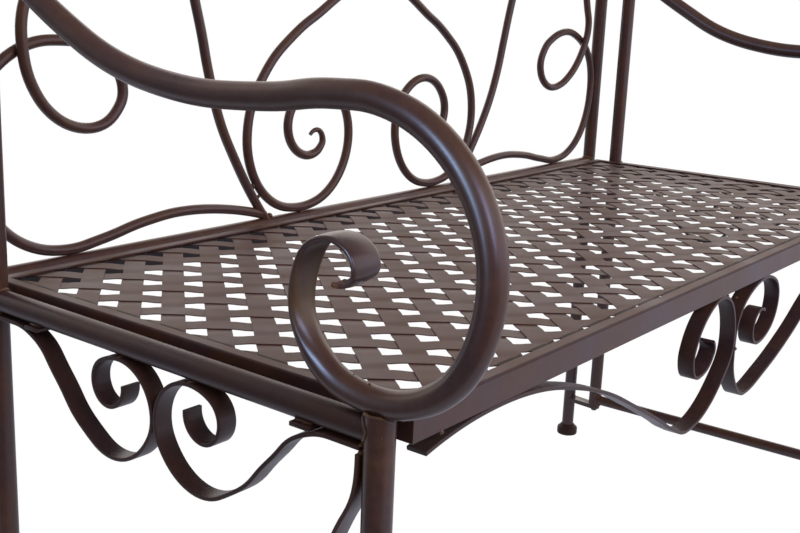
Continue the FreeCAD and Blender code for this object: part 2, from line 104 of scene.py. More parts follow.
def add(tree, kind, inputs=None, stops=(), **settings):
    """Adds a node. inputs maps an input's name or number to a value, a socket or a node, and stops are the
    (place, hex) stops of a colour ramp."""
    node = tree.nodes.new(kind)
    for name, value in settings.items():
        setattr(node, name, value)
    for key, value in (inputs or {}).items():
        if isinstance(value, bpy.types.Node):
            value = next(o for o in value.outputs if o.enabled)
        if isinstance(value, bpy.types.NodeSocket):
            tree.links.new(value, node.inputs[key])
        else:
            node.inputs[key].default_value = value
    for k, (place, code) in enumerate(stops):
        if k == len(node.color_ramp.elements):
            node.color_ramp.elements.new(1)
        node.color_ramp.elements[k].position = place
        node.color_ramp.elements[k].color = linear(code)
    return node


def blank_material(name):
    """New material and its empty node tree."""
    material = bpy.data.materials.new(name)
    material.use_nodes = True
    material.node_tree.nodes.clear()
    return material, material.node_tree


print("middle grey in linear light:", round(linear("#808080")[0], 3))

# %% [markdown]
# ## Light and floor
# The bench was photographed in a white studio: soft light comes from all round, strongest from in front and
# above, and a bright window leaves streaks on the arms. A satin coat shows the room as shine, so light and
# shine are set apart here. Large soft lamps light the coat and don't show in it. Sheets of glowing paper
# that only the shine sees stand for the room's pale floor and walls. They aren't sampled as lamps, because
# that would leave bright specks on the thin rods. Two narrow windows only shine, and the arms' step links
# them to the arms alone. The white floor that the camera sees lights nothing and takes no shadow, and the
# sky's lower half lights the bench from below instead.

# %% Build the floor and the paper that shines in the coat
FLOOR_HALF, WALL_HEIGHT, SHINE_HEIGHT, WALL_START = 40.0, 55.0, 33.0, -18
COOL, WARM = "#eeeeff", "#fff6f0"


def paper(name, corners, faces, tone, strength, shines):
    """Glowing sheet of paper that only the camera sees, or that only shows as shine on the coat."""
    mesh = bpy.data.meshes.new(name)
    mesh.from_pydata(corners, [], faces)
    sheet = placed(name, mesh)
    sheet.visible_camera, sheet.visible_glossy = not shines, shines
    sheet.visible_diffuse = sheet.visible_shadow = False
    # An even glow with no shade of its own: blank white to the camera, or a pale room in the shine.
    material, tree = blank_material(name + "_paper")
    material.cycles.emission_sampling = "NONE"
    glow = add(tree, "ShaderNodeEmission", {"Color": linear(tone), "Strength": strength})
    add(tree, "ShaderNodeOutputMaterial", {"Surface": glow})
    mesh.materials.append(material)


half = FLOOR_HALF
square = ((-half, -half), (half, -half), (half, half), (-half, half))
walls = [((k + 1) % 4, k, k + 4, (k + 1) % 4 + 4) for k in range(4)]
paper("floor", [(x, y, z) for z in (0, WALL_HEIGHT) for x, y in square], [(0, 1, 2, 3)] + walls,
      "#ffffff", 1.0, shines=False)
# In the shine the floor is bright beyond this line and dim on the camera's side of it.
seam_at = ((3, -half), (-0.75, -0.45), (-8, half))
bright = ((half, half), (half, -half)) + seam_at
dim = seam_at[::-1] + ((-half, -half), (-half, half))
paper("shine_floor", [(x, y, 0) for x, y in bright], [range(5)], COOL, 0.78, shines=True)
paper("shine_near", [(x, y, 0) for x, y in dim], [range(5)], COOL, 0.20, shines=True)
corner = ((WALL_START, half), (half, half), (half, WALL_START))
paper("shine_wall", [(x, y, z) for z in (0, SHINE_HEIGHT) for x, y in corner],
      [(0, 1, 4, 3), (1, 2, 5, 4)], WARM, 1.6, shines=True)
paper("shine_front", [(x, -3.0, z) for x, z in ((-1.1, 0.2), (5.0, 0.2), (5.0, 3.2), (-1.1, 3.2))],
      [range(4)], COOL, 1.6, shines=True)
print("papers:", [m.name for m in bpy.data.materials if m.name.endswith("_paper")])

# %% Light the sky and hang the lamps
SKY_STOPS = ((0.42, "#504d4c"), (0.58, "#808287"))
LAMPS_AIM = Vector((0, 0, 0.5))

world = bpy.data.worlds.new("studio")
bpy.context.scene.world = world
world.use_nodes = True
sky_tree = world.node_tree
sky_tree.nodes.clear()
sky_place = add(sky_tree, "ShaderNodeTexCoord")
sky_parts = add(sky_tree, "ShaderNodeSeparateXYZ", {0: sky_place.outputs["Generated"]})
sky_height = add(sky_tree, "ShaderNodeMapRange", {"Value": sky_parts.outputs["Z"], "From Min": -1.0})
sky_tone = add(sky_tree, "ShaderNodeValToRGB", {"Fac": sky_height}, stops=SKY_STOPS)
sky = add(sky_tree, "ShaderNodeBackground", {"Color": sky_tone})
add(sky_tree, "ShaderNodeOutputWorld", {"Surface": sky})


def softbox(name, place, width, height, power, tint, shines):
    """Lamp aimed at the seat. It either only lights the coat or only shines on it."""
    lamp = bpy.data.lights.new(name, "AREA")
    lamp.shape = "RECTANGLE"
    lamp.size, lamp.size_y = width, height
    lamp.energy = power
    lamp.color = linear(tint)[:3]
    obj = placed(name, lamp)
    obj.location = place
    obj.rotation_euler = (LAMPS_AIM - Vector(place)).to_track_quat("-Z", "Y").to_euler()
    obj.visible_diffuse = not shines
    obj.visible_glossy = shines
    return obj


softbox("front_light", (-0.8, -2.8, 2.4), 2.6, 1.8, 90, "#fff9f4", shines=False)
softbox("left_light", (-3.0, -0.6, 1.6), 2.0, 1.6, 12, "#fffaf6", shines=False)
softbox("top_light", (0.2, 0.2, 3.0), 2.4, 1.8, 18, "#ffffff", shines=False)
window_left = softbox("window_left", (-2.6, 0.10, 1.05), 0.22, 1.0, 48, "#b4d0ff", shines=True)
window_front = softbox("window_front", (-1.55, -2.3, 1.6), 0.7, 1.3, 40, "#bcccff", shines=True)
bpy.context.scene.view_settings.view_transform = "Standard"

# %% [markdown]
# ## The antique-bronze coat
# The steel is powder coated in a brown so dark that it is nearly black in shade. A glaze was wiped over it,
# so the tone drifts from slate to brown to a trace of gold over a few centimetres, and the film has a fine
# orange peel. It is a satin film of paint, so it isn't metallic, and its gloss varies a little. One function
# makes every coat, so they share the film, and each place has its own tones and gloss.

# %% Marks that only some coats have
GRAIN_LENGTH, GRAIN_WIDTH, STRIP_GIRTH = 0.120, 0.0015, 0.036


def rolled(tree, mark):
    """A coat's marks, mixed with long thin ones that the rolling mill left along a strip."""
    run = add(tree, "ShaderNodeAttribute", attribute_name="run")
    around = add(tree, "ShaderNodeAttribute", attribute_name="around")
    along = add(tree, "ShaderNodeMath", {0: run.outputs["Fac"], 1: 1 / GRAIN_LENGTH}, operation="MULTIPLY")
    sideways = add(tree, "ShaderNodeMath", {0: around.outputs["Fac"], 1: STRIP_GIRTH / GRAIN_WIDTH},
                   operation="MULTIPLY")
    grain_at = add(tree, "ShaderNodeCombineXYZ", {0: along, 1: sideways})
    grain = add(tree, "ShaderNodeTexNoise", {"Vector": grain_at, "Scale": 1.0, "Detail": 2.0})
    return add(tree, "ShaderNodeMix", {0: 0.5, 2: mark, 3: grain.outputs["Fac"]})


def gold_and_rust(tree, place, drift, colour, roughness):
    """Colour and roughness with patches of gold along the arm's pressed end and orange rust on the cut end.
    """
    gold_patch = add(tree, "ShaderNodeAttribute", attribute_name="gold_patch")
    patchy = add(tree, "ShaderNodeMapRange", {"Value": drift, "From Min": 0.4, "From Max": 0.62})
    golden = add(tree, "ShaderNodeMath", {0: gold_patch.outputs["Fac"], 1: patchy}, operation="MULTIPLY")
    colour = add(tree, "ShaderNodeMix", {0: golden, 6: colour, 7: linear("#5e4526")}, data_type="RGBA")
    bare = add(tree, "ShaderNodeAttribute", attribute_name="rust")
    grit = add(tree, "ShaderNodeTexNoise", {"Vector": place, "Scale": 1 / 0.003, "Detail": 4.0})
    ragged = add(tree, "ShaderNodeMath", {0: grit.outputs["Fac"], 1: 0.9, 2: -0.45},
                 operation="MULTIPLY_ADD")
    edge = add(tree, "ShaderNodeMath", {0: bare.outputs["Fac"], 1: ragged}, operation="ADD")
    share = add(tree, "ShaderNodeMapRange", {"Value": edge, "From Min": 0.45, "From Max": 0.7})
    orange = add(tree, "ShaderNodeValToRGB", {"Fac": grit.outputs["Fac"]},
                 stops=((0.35, "#44281a"), (0.55, "#734427"), (0.75, "#a0663c")))
    colour = add(tree, "ShaderNodeMix", {0: share, 6: colour, 7: orange}, data_type="RGBA")
    return colour, add(tree, "ShaderNodeMix", {0: share, 2: roughness, 3: 0.8})


def clear_of_painted_flange_shade(tree, place, inset):
    """0 on a line of painted shade 5 mm wide inside the front, back and ends given in mm, and 1 further in.
    """
    low_y, high_y, half_x = (v * MM for v in inset)
    axes = add(tree, "ShaderNodeSeparateXYZ", {0: place})
    beside = add(tree, "ShaderNodeMath", {0: axes.outputs["X"]}, operation="ABSOLUTE")
    from_side = add(tree, "ShaderNodeMath", {0: half_x, 1: beside}, operation="SUBTRACT")
    from_front = add(tree, "ShaderNodeMath", {0: axes.outputs["Y"], 1: low_y}, operation="SUBTRACT")
    from_back = add(tree, "ShaderNodeMath", {0: high_y, 1: axes.outputs["Y"]}, operation="SUBTRACT")
    nearest = add(tree, "ShaderNodeMath", {0: from_front, 1: from_back}, operation="MINIMUM")
    nearest = add(tree, "ShaderNodeMath", {0: nearest, 1: from_side}, operation="MINIMUM")
    return add(tree, "ShaderNodeMapRange", {"Value": nearest, "From Min": 0.0045, "From Max": 0.0065})


# %% Build a coat
SLATE, BROWN, GOLD = "#422d2d", "#452c27", "#482f24"


def coat(name, tones=(SLATE, BROWN, GOLD), gloss=0.32, wiped=0.12, peel=0.05, shine=0.5, strip=False,
         worn=False, inset=None):
    """Satin coat. tones run from the coolest glaze to the warmest, wiped is how much the glaze varies in
    depth, and inset gives the edges along which a line of shade is painted on the seat."""
    material, tree = blank_material(name)
    place = add(tree, "ShaderNodeTexCoord").outputs["Object"]
    # Drifts of glaze about 50 mm across, and wiped marks of 7 mm within them.
    drifts = add(tree, "ShaderNodeTexNoise", {"Vector": place, "Scale": 1 / 0.050, "Detail": 3.0})
    drift = drifts.outputs["Fac"]
    colour = add(tree, "ShaderNodeValToRGB", {"Fac": drift},
                 stops=[(0.38 + 0.12 * k, tone) for k, tone in enumerate(tones)])
    marks = add(tree, "ShaderNodeTexNoise", {"Vector": place, "Scale": 1 / 0.007, "Detail": 2.0})
    mark = rolled(tree, marks.outputs["Fac"]) if strip else marks.outputs["Fac"]
    deep = add(tree, "ShaderNodeMapRange", {"Value": mark, "From Min": 0.3, "From Max": 0.7,
                                            "To Min": 1 - wiped, "To Max": 1 + wiped})
    colour = add(tree, "ShaderNodeHueSaturation", {"Color": colour, "Value": deep})
    roughness = add(tree, "ShaderNodeMapRange", {"Value": drift, "From Min": 0.3, "From Max": 0.7,
                                                 "To Min": gloss - 0.05, "To Max": gloss + 0.06})
    if worn:
        colour, roughness = gold_and_rust(tree, place, drift, colour, roughness)
    # Painted shade: along the frame's inside the seat is darkened and its sheen is lowered.
    if inset:
        clear = clear_of_painted_flange_shade(tree, place, inset)
        shade = add(tree, "ShaderNodeMapRange", {"Value": clear, "To Min": 0.28, "To Max": 1.0})
        colour = add(tree, "ShaderNodeHueSaturation", {"Color": colour, "Value": shade})
        shine = add(tree, "ShaderNodeMapRange", {"Value": clear, "To Min": 0.1, "To Max": 0.5})
    # Orange peel of 2 mm, drawn coarser than the real 1 mm so that it shows.
    skin = add(tree, "ShaderNodeTexNoise", {"Vector": place, "Scale": 1 / 0.002, "Detail": 2.0})
    bump = add(tree, "ShaderNodeBump", {"Height": skin.outputs["Fac"], "Strength": peel, "Distance": 0.0002})
    shader = add(tree, "ShaderNodeBsdfPrincipled", {"Base Color": colour, "Roughness": roughness,
                                                    "Specular IOR Level": shine, "Normal": bump})
    add(tree, "ShaderNodeOutputMaterial", {"Surface": shader})
    return material


# %% Make the coats
SEAT_TONES = ("#432d2b", "#452c27", "#472e25")
# The frame's inside in mm, along which a line of shade is painted on the seat.
SEAT_INSET = (-185.5, 215.5, 490.5)

# Brown that turns nearly black in shade, with a soft pale sheen along each rod and tube.
bronze_coat = coat("bronze_powder_coat")
# The same film, with patches of gold along the arm's pressed end and rough orange rust on its cut tip.
worn_coat = coat("bronze_powder_coat_rusted_tip", worn=True)
# Duller, so the strips look flat brown, with fine marks along them and a painted line of shade beside the
# frame.
seat_coat = coat("bronze_coat_on_rolled_strip", SEAT_TONES, gloss=0.5, wiped=0.06, strip=True,
                 inset=SEAT_INSET)
# A little lighter and much rougher to the eye, so that the welds show as lumps.
weld_coat = coat("bronze_coat_on_weld", ("#47302f", "#4e352c", "#5c4028"), gloss=0.38, wiped=0.2, peel=0.6)
# As dull as the strips, so that flange and weave look like one brown top.
flange_coat = coat("bronze_coat_on_flange", SEAT_TONES, gloss=0.5, wiped=0.06)
# Painted shade: a darker line with less sheen on the round between the frame's top and its front.
painted_corner_shade_coat = coat("bronze_coat_painted_corner_shade", ("#3a2c30", "#3c2a2b", "#3e2b28"), gloss=0.5, shine=0.2)
# Painted shade: darker and with less sheen, for bars that hang in the shade of the seat.
painted_seat_shade_coat = coat("bronze_coat_painted_seat_shade", ("#352428", "#372424", "#3a2622"), gloss=0.38, shine=0.40)
# Blotchy, with patches of gold, as the front leg shows in the full light.
leg_coat = coat("bronze_coat_on_leg", ("#3f2c2b", "#462e28", "#523a28"), wiped=0.2)
# Painted shade: nearly black and dull, for the frame's hollow side and the bars close under it, where hardly
# any light gets.
painted_recess_shade_coat = coat("bronze_coat_painted_recess_shade", ("#241a19", "#281b19", "#2c1e19"), gloss=0.6)
# A trace darker than the lugs, so that the bolt heads stand out from them.
bolt_coat = coat("bronze_coat_on_bolt", ("#332624", "#382722", "#3d2a1f"), gloss=0.36)
print("coats:", [m.name for m in bpy.data.materials if "coat" in m.name])

# %% [markdown]
# The feet are moulded rubber cups in the brown of the frame, a little duller, with a fine texture from the
# mould. A noise of 1.5 mm gives both the texture and a slight change of tone.

# %% Make the rubber
# Dark and dull, with no streak of light on it, so that it looks soft beside the tube.
rubber, tree = blank_material("brown_moulded_rubber")
place = add(tree, "ShaderNodeTexCoord").outputs["Object"]
noise = add(tree, "ShaderNodeTexNoise", {"Vector": place, "Scale": 1 / 0.0015, "Detail": 3.0})
grain = noise.outputs["Fac"]
tone = add(tree, "ShaderNodeValToRGB", {"Fac": grain}, stops=((0.35, "#2e1e1b"), (0.7, "#372520")))
bump = add(tree, "ShaderNodeBump", {"Height": grain, "Strength": 0.4, "Distance": 0.0003})
shader = add(tree, "ShaderNodeBsdfPrincipled", {"Base Color": tone, "Roughness": 0.55,
                                                "Specular IOR Level": 0.25, "Normal": bump})
add(tree, "ShaderNodeOutputMaterial", {"Surface": shader})
print("nodes in the rubber:", len(tree.nodes))

# %% [markdown]
# ## Sizes and bend lines
# The smith's drawing of the bench: sizes in millimetres, and for each bent piece a few points with the
# line's heading in degrees where it is known. Between points the line runs in two arcs that meet without a
# kink, which is how bars bent round a former look. These are the lines of the CAD model. Only the hooked
# tips of the heart rods and the pressed, rolled ends of the arms go beyond its solids.

# %% Sizes of the bench
SEAT_HEIGHT, SEAT_LENGTH, SEAT_DEPTH = 442, 1001, 421
LEG_Y = -184
POST_BEHIND = 385.5
BACK_Y = LEG_Y + 431.5
SEAT_FRONT_Y = LEG_Y - 11.5
SIDE_X = 517
TOE_IN = math.radians(0.7)
LEG_DIA, TUBE_DIA, STRETCHER_DIA, ROD_DIA = 19, 17.5, 14.5, 9.5
BAR_WIDTH, BAR_THICK = 15, 3
LEG_TOP, ARM_LOW, RAIL_Z, STRETCHER_Z = 443, 449.1, 431.6, 70
POST_BOTTOM, POST_TOP, UPRIGHT_TOP, CROWN_Z = 62, 724, 732, 872
FOOT_FLOOR, LUG_THICK, SEAT_LUG_BEHIND = 4, 6, 56
FRAME_HEIGHT, FLANGE_WIDTH, FRAME_WALL = 20.5, 10, 1.5
SIDES = (("left", -1), ("right", 1))


def in_side(side, behind, height, across=0):
    """Place on a side frame, which is turned a little inward about its front leg."""
    turn = side * TOE_IN
    return (side * SIDE_X + across * math.cos(turn) - behind * math.sin(turn),
            LEG_Y + across * math.sin(turn) + behind * math.cos(turn), height)


def in_back(side, out, above, forward_by=0):
    """Place on the back: out from the middle and above the seat."""
    return side * out, BACK_Y - forward_by, SEAT_HEIGHT + above


print("left rear post at:", [round(v, 1) for v in in_side(-1, POST_BEHIND, 0)])

# %% Bend lines as tangent arcs
ARC_STEP = math.radians(5)
LONGEST_STEP = 7.0


def wrapped(angle):
    """The same angle within half a turn either way."""
    return math.atan2(math.sin(angle), math.cos(angle))


def headings(points):
    """Direction of the line at each point: the given one, or that of the circle through its neighbours."""
    chords = [math.atan2(q[1] - p[1], q[0] - p[0]) for p, q in zip(points, points[1:])]
    lengths = [math.dist(p[:2], q[:2]) for p, q in zip(points, points[1:])]
    found = [None] * len(points)
    for i in range(1, len(points) - 1):
        share = lengths[i - 1] / (lengths[i - 1] + lengths[i])
        found[i] = chords[i - 1] + share * wrapped(chords[i] - chords[i - 1])
    for i, point in enumerate(points):
        if len(point) == 3:
            found[i] = math.radians(point[2])
    if found[0] is None:
        found[0] = 2 * chords[0] - found[1]
    if found[-1] is None:
        found[-1] = 2 * chords[-1] - found[-2]
    return found


def arc_points(p, start, q):
    """Points with headings along the arc that leaves p in direction start and ends in q, without p."""
    turn = 2 * wrapped(math.atan2(q[1] - p[1], q[0] - p[0]) - start)
    chord = math.dist(p, q)
    radius = chord / (2 * math.sin(turn / 2)) if abs(turn) > 1e-4 else None
    length = radius * turn if radius else chord
    steps = max(1, math.ceil(abs(turn) / ARC_STEP), math.ceil(length / LONGEST_STEP))
    found = []
    for k in range(1, steps + 1):
        now = start + turn * k / steps
        if radius:
            at = (p[0] + radius * (math.sin(now) - math.sin(start)),
                  p[1] - radius * (math.cos(now) - math.cos(start)))
        else:
            at = (p[0] + (q[0] - p[0]) * k / steps, p[1] + (q[1] - p[1]) * k / steps)
        found.append((at, now))
    return found


def bend_line(points):
    """Points with headings along the whole line, in mm."""
    found = headings(points)
    line = [(points[0][:2], found[0])]
    for p, q, start, end in zip(points, points[1:], found, found[1:]):
        reach = Vector((q[0] - p[0], q[1] - p[1]))
        along = Vector((math.cos(start) + math.cos(end), math.sin(start) + math.sin(end)))
        spread = 2 * (1 - math.cos(end - start))
        dot = reach.dot(along)
        if spread < 1e-6:
            lead = reach.length_squared / (2 * dot)
        else:
            lead = (math.sqrt(dot ** 2 + spread * reach.length_squared) - dot) / spread
        meeting = ((p[0] + q[0] + lead * (math.cos(start) - math.cos(end))) / 2,
                   (p[1] + q[1] + lead * (math.sin(start) - math.sin(end))) / 2)
        line += arc_points(p[:2], start, meeting)
        line += arc_points(meeting, line[-1][1], q[:2])
    return line


print("test bend has points:", len(bend_line([(0, 0, 0), (100, 100, 90)])))

# %% [markdown]
# ## Keeping a piece
# Each piece ends as a plain mesh at the origin, smooth except at its true edges. It rides on the bench's one
# body and stands for the CAD node whose place it takes, which is hidden.

# %% Functions that keep a piece
SHARP_ANGLE = math.radians(38)
FLAT_ANGLE = math.radians(20)


def keep(name, mesh, slot, *nodes, sharp=SHARP_ANGLE):
    """Object of a mesh, tied to its body and standing for the CAD nodes, which it hides. slot is not used.
    """
    mesh.name = name
    mesh.shade_smooth()
    mesh.set_sharp_from_angle(angle=sharp)
    piece = placed(name, mesh)
    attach(piece, "root")
    if nodes:
        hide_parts(*nodes)
    return piece


def grown(name, host_mesh, tree, settings):
    """Mesh that a Geometry Nodes tree makes of host_mesh."""
    host = placed(name + "_line", host_mesh)
    modifier = host.modifiers.new("grow", "NODES")
    modifier.node_group = tree
    for item in tree.interface.items_tree:
        if item.in_out == "INPUT" and item.name in settings:
            modifier[item.identifier] = settings[item.name]
    depsgraph = bpy.context.evaluated_depsgraph_get()
    mesh = bpy.data.meshes.new_from_object(host.evaluated_get(depsgraph), depsgraph=depsgraph)
    bpy.data.objects.remove(host)
    return mesh


def new_tree(name, **inputs):
    """Empty Geometry Nodes tree with a geometry input and the given inputs, and its input sockets."""
    tree = bpy.data.node_groups.new(name, "GeometryNodeTree")
    kinds = {float: "NodeSocketFloat", tuple: "NodeSocketVector", type(None): "NodeSocketMaterial"}
    tree.interface.new_socket("Geometry", in_out="INPUT", socket_type="NodeSocketGeometry")
    for label, value in inputs.items():
        socket = tree.interface.new_socket(label, in_out="INPUT", socket_type=kinds[type(value)])
        if value is not None:
            socket.default_value = value
    tree.interface.new_socket("Geometry", in_out="OUTPUT", socket_type="NodeSocketGeometry")
    return tree, add(tree, "NodeGroupInput").outputs


def end_tree(tree, geometry, finish):
    """Ends a tree: whatever was made becomes one mesh and gets its finish."""
    whole = add(tree, "GeometryNodeRealizeInstances", {"Geometry": geometry})
    coated = add(tree, "GeometryNodeSetMaterial", {"Geometry": whole, "Material": finish})
    add(tree, "NodeGroupOutput", {0: coated})
    return tree


# %% [markdown]
# ## Tube, rod and flat bar
# A tube could be a curve with a bevel. A Geometry Nodes tree does the same in the open: it sweeps a circle
# along the bend line and reads the bar's thickness at each point, so that a rod can be drawn out thin. The
# same tree with a rounded rectangle makes the flat bars, whose broad side is held square to the bend by a
# fixed normal.

# %% Trees that sweep a section along a bend line


def sweep_tree(name, flat):
    tree, given = new_tree(name, Width=0.0165, Thickness=0.003, Edge=0.0006, Across=(1.0, 0.0, 0.0),
                           Coat=None)
    line = add(tree, "GeometryNodeMeshToCurve", {"Mesh": given["Geometry"]})
    if flat:
        line = add(tree, "GeometryNodeSetCurveNormal", {"Curve": line, "Normal": given["Across"]},
                   mode="FREE")
        blank = add(tree, "GeometryNodeCurvePrimitiveQuadrilateral",
                    {"Width": given["Width"], "Height": given["Thickness"]})
        section = add(tree, "GeometryNodeFilletCurve", {"Curve": blank, "Count": 3, "Radius": given["Edge"]},
                      mode="POLY")
    else:
        radius = add(tree, "ShaderNodeMath", {0: given["Width"], 1: 0.5}, operation="MULTIPLY")
        section = add(tree, "GeometryNodeCurvePrimitiveCircle", {"Resolution": 28, "Radius": radius})
    taper = add(tree, "GeometryNodeInputNamedAttribute", {"Name": "taper"})
    bar = add(tree, "GeometryNodeCurveToMesh",
              {"Curve": line, "Profile Curve": section, "Scale": taper, "Fill Caps": True})
    return end_tree(tree, bar, given["Coat"])


round_tree = sweep_tree("bent_tube", flat=False)
flat_tree = sweep_tree("bent_flat_bar", flat=True)


def line_mesh(name, places, taper=None):
    """Chain of edges through places in mm, with the bar's relative thickness at each."""
    mesh = bpy.data.meshes.new(name)
    mesh.from_pydata([Vector(p) * MM for p in places], [(i, i + 1) for i in range(len(places) - 1)], [])
    width = mesh.attributes.new("taper", "FLOAT", "POINT")
    width.data.foreach_set("value", taper or [1.0] * len(places))
    return mesh


def tube(node, dia, places, taper=None, finish=bronze_coat):
    mesh = grown(node, line_mesh(node, places, taper), round_tree, {"Width": dia * MM, "Coat": finish})
    return keep(node + "_bent", mesh, "bronze_coat", node)


# Flat bars take the painted seat shade unless they are given another finish.
def flat_bar(node, places, across, finish=painted_seat_shade_coat):
    settings = {"Width": BAR_WIDTH * MM, "Thickness": BAR_THICK * MM, "Across": across, "Coat": finish}
    mesh = grown(node, line_mesh(node, places), flat_tree, settings)
    return keep(node + "_bent", mesh, "bronze_coat", node, sharp=FLAT_ANGLE)


print("nodes in the sweeps:", len(round_tree.nodes), "and", len(flat_tree.nodes))

# %% [markdown]
# ## Straight tubes
# Legs, posts, uprights and rails are cut straight, so two points draw each. They end inside the tube they
# are welded to, where the weld hides the end.

# %% Lay the straight tubes
INTO_LEG, INTO_TUBE = 5, 4
BOTTOM_RAIL_Z = SEAT_HEIGHT - TUBE_DIA / 2
RAIL_ENDS = (INTO_LEG, POST_BEHIND - INTO_TUBE)
for side_name, side in SIDES:
    x = side * SIDE_X
    tube(f"front_leg_{side_name}", LEG_DIA, [(x, LEG_Y, FOOT_FLOOR), (x, LEG_Y, LEG_TOP)], finish=leg_coat)
    tube(f"rear_post_{side_name}", TUBE_DIA,
         [in_side(side, POST_BEHIND, z) for z in (POST_BOTTOM, POST_TOP)])
    tube(f"back_upright_{side_name}", TUBE_DIA, [(x, BACK_Y, FOOT_FLOOR), (x, BACK_Y, UPRIGHT_TOP)])
    # The side rails take the painted seat shade.
    tube(f"side_rail_{side_name}", TUBE_DIA, [in_side(side, b, RAIL_Z) for b in RAIL_ENDS],
         finish=painted_seat_shade_coat)
    tube(f"lower_stretcher_{side_name}", STRETCHER_DIA, [in_side(side, b, STRETCHER_Z) for b in RAIL_ENDS])
bottom_rail = tube("back_bottom_rail", TUBE_DIA,
                   [(x, BACK_Y, BOTTOM_RAIL_Z) for x in (INTO_TUBE - SIDE_X, SIDE_X - INTO_TUBE)])
print("bottom rail in mm:", [round(v / MM, 1) for v in bottom_rail.dimensions])

# %% [markdown]
# ## The back
# An arched top rail and six rods of 9.5 mm, bent by hand, so the two sides differ. The wave rods loop over
# themselves: the loop swings forward by a rod's thickness and the tail swings back. The heart rods end in a
# spiral whose tip is drawn out thin under the hammer and hooked.

# %% The back's bend lines
HEART_LINE = [(72, 421), (30, 372), (4.75, 300, -90), (40, 241), (85, 211.3), (126.3, 188), (167, 154.6),
              (195.2, 102), (195.5, 66.5), (181, 34), (157.3, 13.6), (117, 4.75, 180), (72.3, 17.7),
              (46.2, 51.3), (41.5, 76, 90), (59.3, 118.3), (94, 132.4, 0), (124.7, 120.2), (138.5, 92, -90),
              (122, 63.5), (103.8, 59), (88.4, 65.5), (84.2, 73, 90), (94.5, 85, 0), (104, 80.5)]
LYRE_LINES = {
    "left": [(168, -4), (197, 36), (212.7, 62), (232, 98.7), (249.6, 154), (258, 189.5), (264.5, 213),
             (286, 290), (336, 402)],
    "right": [(168, -4), (197, 35), (221.5, 70.4), (237.2, 98.4), (252, 135.6), (262, 172), (271, 205),
              (300, 290), (336, 402)],
}
WAVE_LINES = {
    "left": [(177, 4.8), (217.8, 14.6), (286.4, 21.5, 0), (329, 17.8), (374.8, 9), (408, 4.75, 0),
             (447.4, 12.2), (464.3, 21.7), (496, 66), (503.5, 106, 90), (470, 167), (424, 183, 180),
             (372, 172), (350, 138, -90)],
    "right": [(179.5, 8.5), (227.5, 18.9), (281, 23.2, 0), (329.4, 19), (374.6, 10), (408, 4.75, 0),
              (449.3, 12), (477.7, 31.6), (497, 64), (503.5, 104, 90), (485, 155), (458, 174),
              (424, 183, 180), (390, 176), (367.6, 161.7), (358, 140, -90)],
}
LOOP_LINES = {
    "left": [(350, 138, -90), (361.3, 117.6), (387.6, 108.5, 0), (412.6, 113.5), (433.8, 127.3),
             (449, 148.2), (457.5, 190, 90)],
    "right": [(358, 140, -90), (364.5, 121), (390.3, 108, 0), (411.4, 112.5), (428, 122.5),
              (452.4, 150), (466.5, 192, 90)],
}
TAIL_LINES = {
    "left": [(457.5, 190, 90), (445, 236), (420, 300), (388, 392.5)],
    "right": [(466.5, 192, 90), (459.5, 220), (437, 290), (388, 392.5)],
}
RIGHT_SHOULDER = [(SIDE_X, UPRIGHT_TOP, 90), (452, 818, 164)]
print("points along a heart rod:", len(bend_line(HEART_LINE)))

# %% Bend the back's rail and rods
LOOP_SHIFT = ROD_DIA + 0.3
TAPER_LENGTH, TIP_SHARE = 52, 0.42


def wave_places(side_name, side):
    """Places along a wave rod: the wave in the back's plane, the loop swung forward, the tail swung back."""
    wave, loop, tail = (lines[side_name] for lines in (WAVE_LINES, LOOP_LINES, TAIL_LINES))
    hinge, knee, end = loop[0][0], tail[0][0], tail[-1][0]
    swing = math.asin(LOOP_SHIFT / (knee - hinge))
    back = math.asin(LOOP_SHIFT / (knee - end))
    knee_out = hinge + (knee - hinge) * math.cos(swing)
    places = [in_back(side, a, b) for (a, b), _ in bend_line(wave)]
    for (a, b), _ in bend_line(loop)[1:]:
        reach = a - hinge
        places.append(in_back(side, hinge + reach * math.cos(swing), b, reach * math.sin(swing)))
    for (a, b), _ in bend_line(tail)[1:]:
        reach = knee - a
        places.append(in_back(side, knee_out - reach * math.cos(back), b,
                              LOOP_SHIFT - reach * math.sin(back)))
    return places


def run_lengths(places):
    """Length along a line up to each of its points."""
    runs = [0.0]
    for p, q in zip(places, places[1:]):
        runs.append(runs[-1] + math.dist(p, q))
    return runs


left_shoulder = [(-a, b, 360 - heading) for a, b, heading in reversed(RIGHT_SHOULDER)]
arch = bend_line(RIGHT_SHOULDER + [(0, CROWN_Z - TUBE_DIA / 2, 180)] + left_shoulder)
tube("back_top_rail", TUBE_DIA, [(a, BACK_Y, b) for (a, b), _ in arch])
heart_places, lyre_places = {}, {}
for side_name, side in SIDES:
    heart = [in_back(side, a, b) for (a, b), _ in bend_line(HEART_LINE)]
    lyre = [in_back(side, a, b) for (a, b), _ in bend_line(LYRE_LINES[side_name])]
    runs = run_lengths(heart)
    thin = [TIP_SHARE + (1 - TIP_SHARE) * min(1, (runs[-1] - run) / TAPER_LENGTH) for run in runs]
    tube(f"back_heart_rod_{side_name}", ROD_DIA, heart, thin)
    tube(f"back_lyre_rod_{side_name}", ROD_DIA, lyre)
    tube(f"back_wave_rod_{side_name}", ROD_DIA, wave_places(side_name, side))
    heart_places[side], lyre_places[side] = heart, lyre
    print("heart rod's length in mm:", round(runs[-1]))

# %% [markdown]
# ## Flat-bar scrolls and braces
# The aprons are 15 by 3 mm bar bent on the flat, with slightly rounded edges that catch the light as pale
# lines. They hang in the shade of the seat, and the front apron's outer ends, close under the frame, are
# darkest on top. Finishes of their own paint that shade, because the soft lamps alone leave it too light.

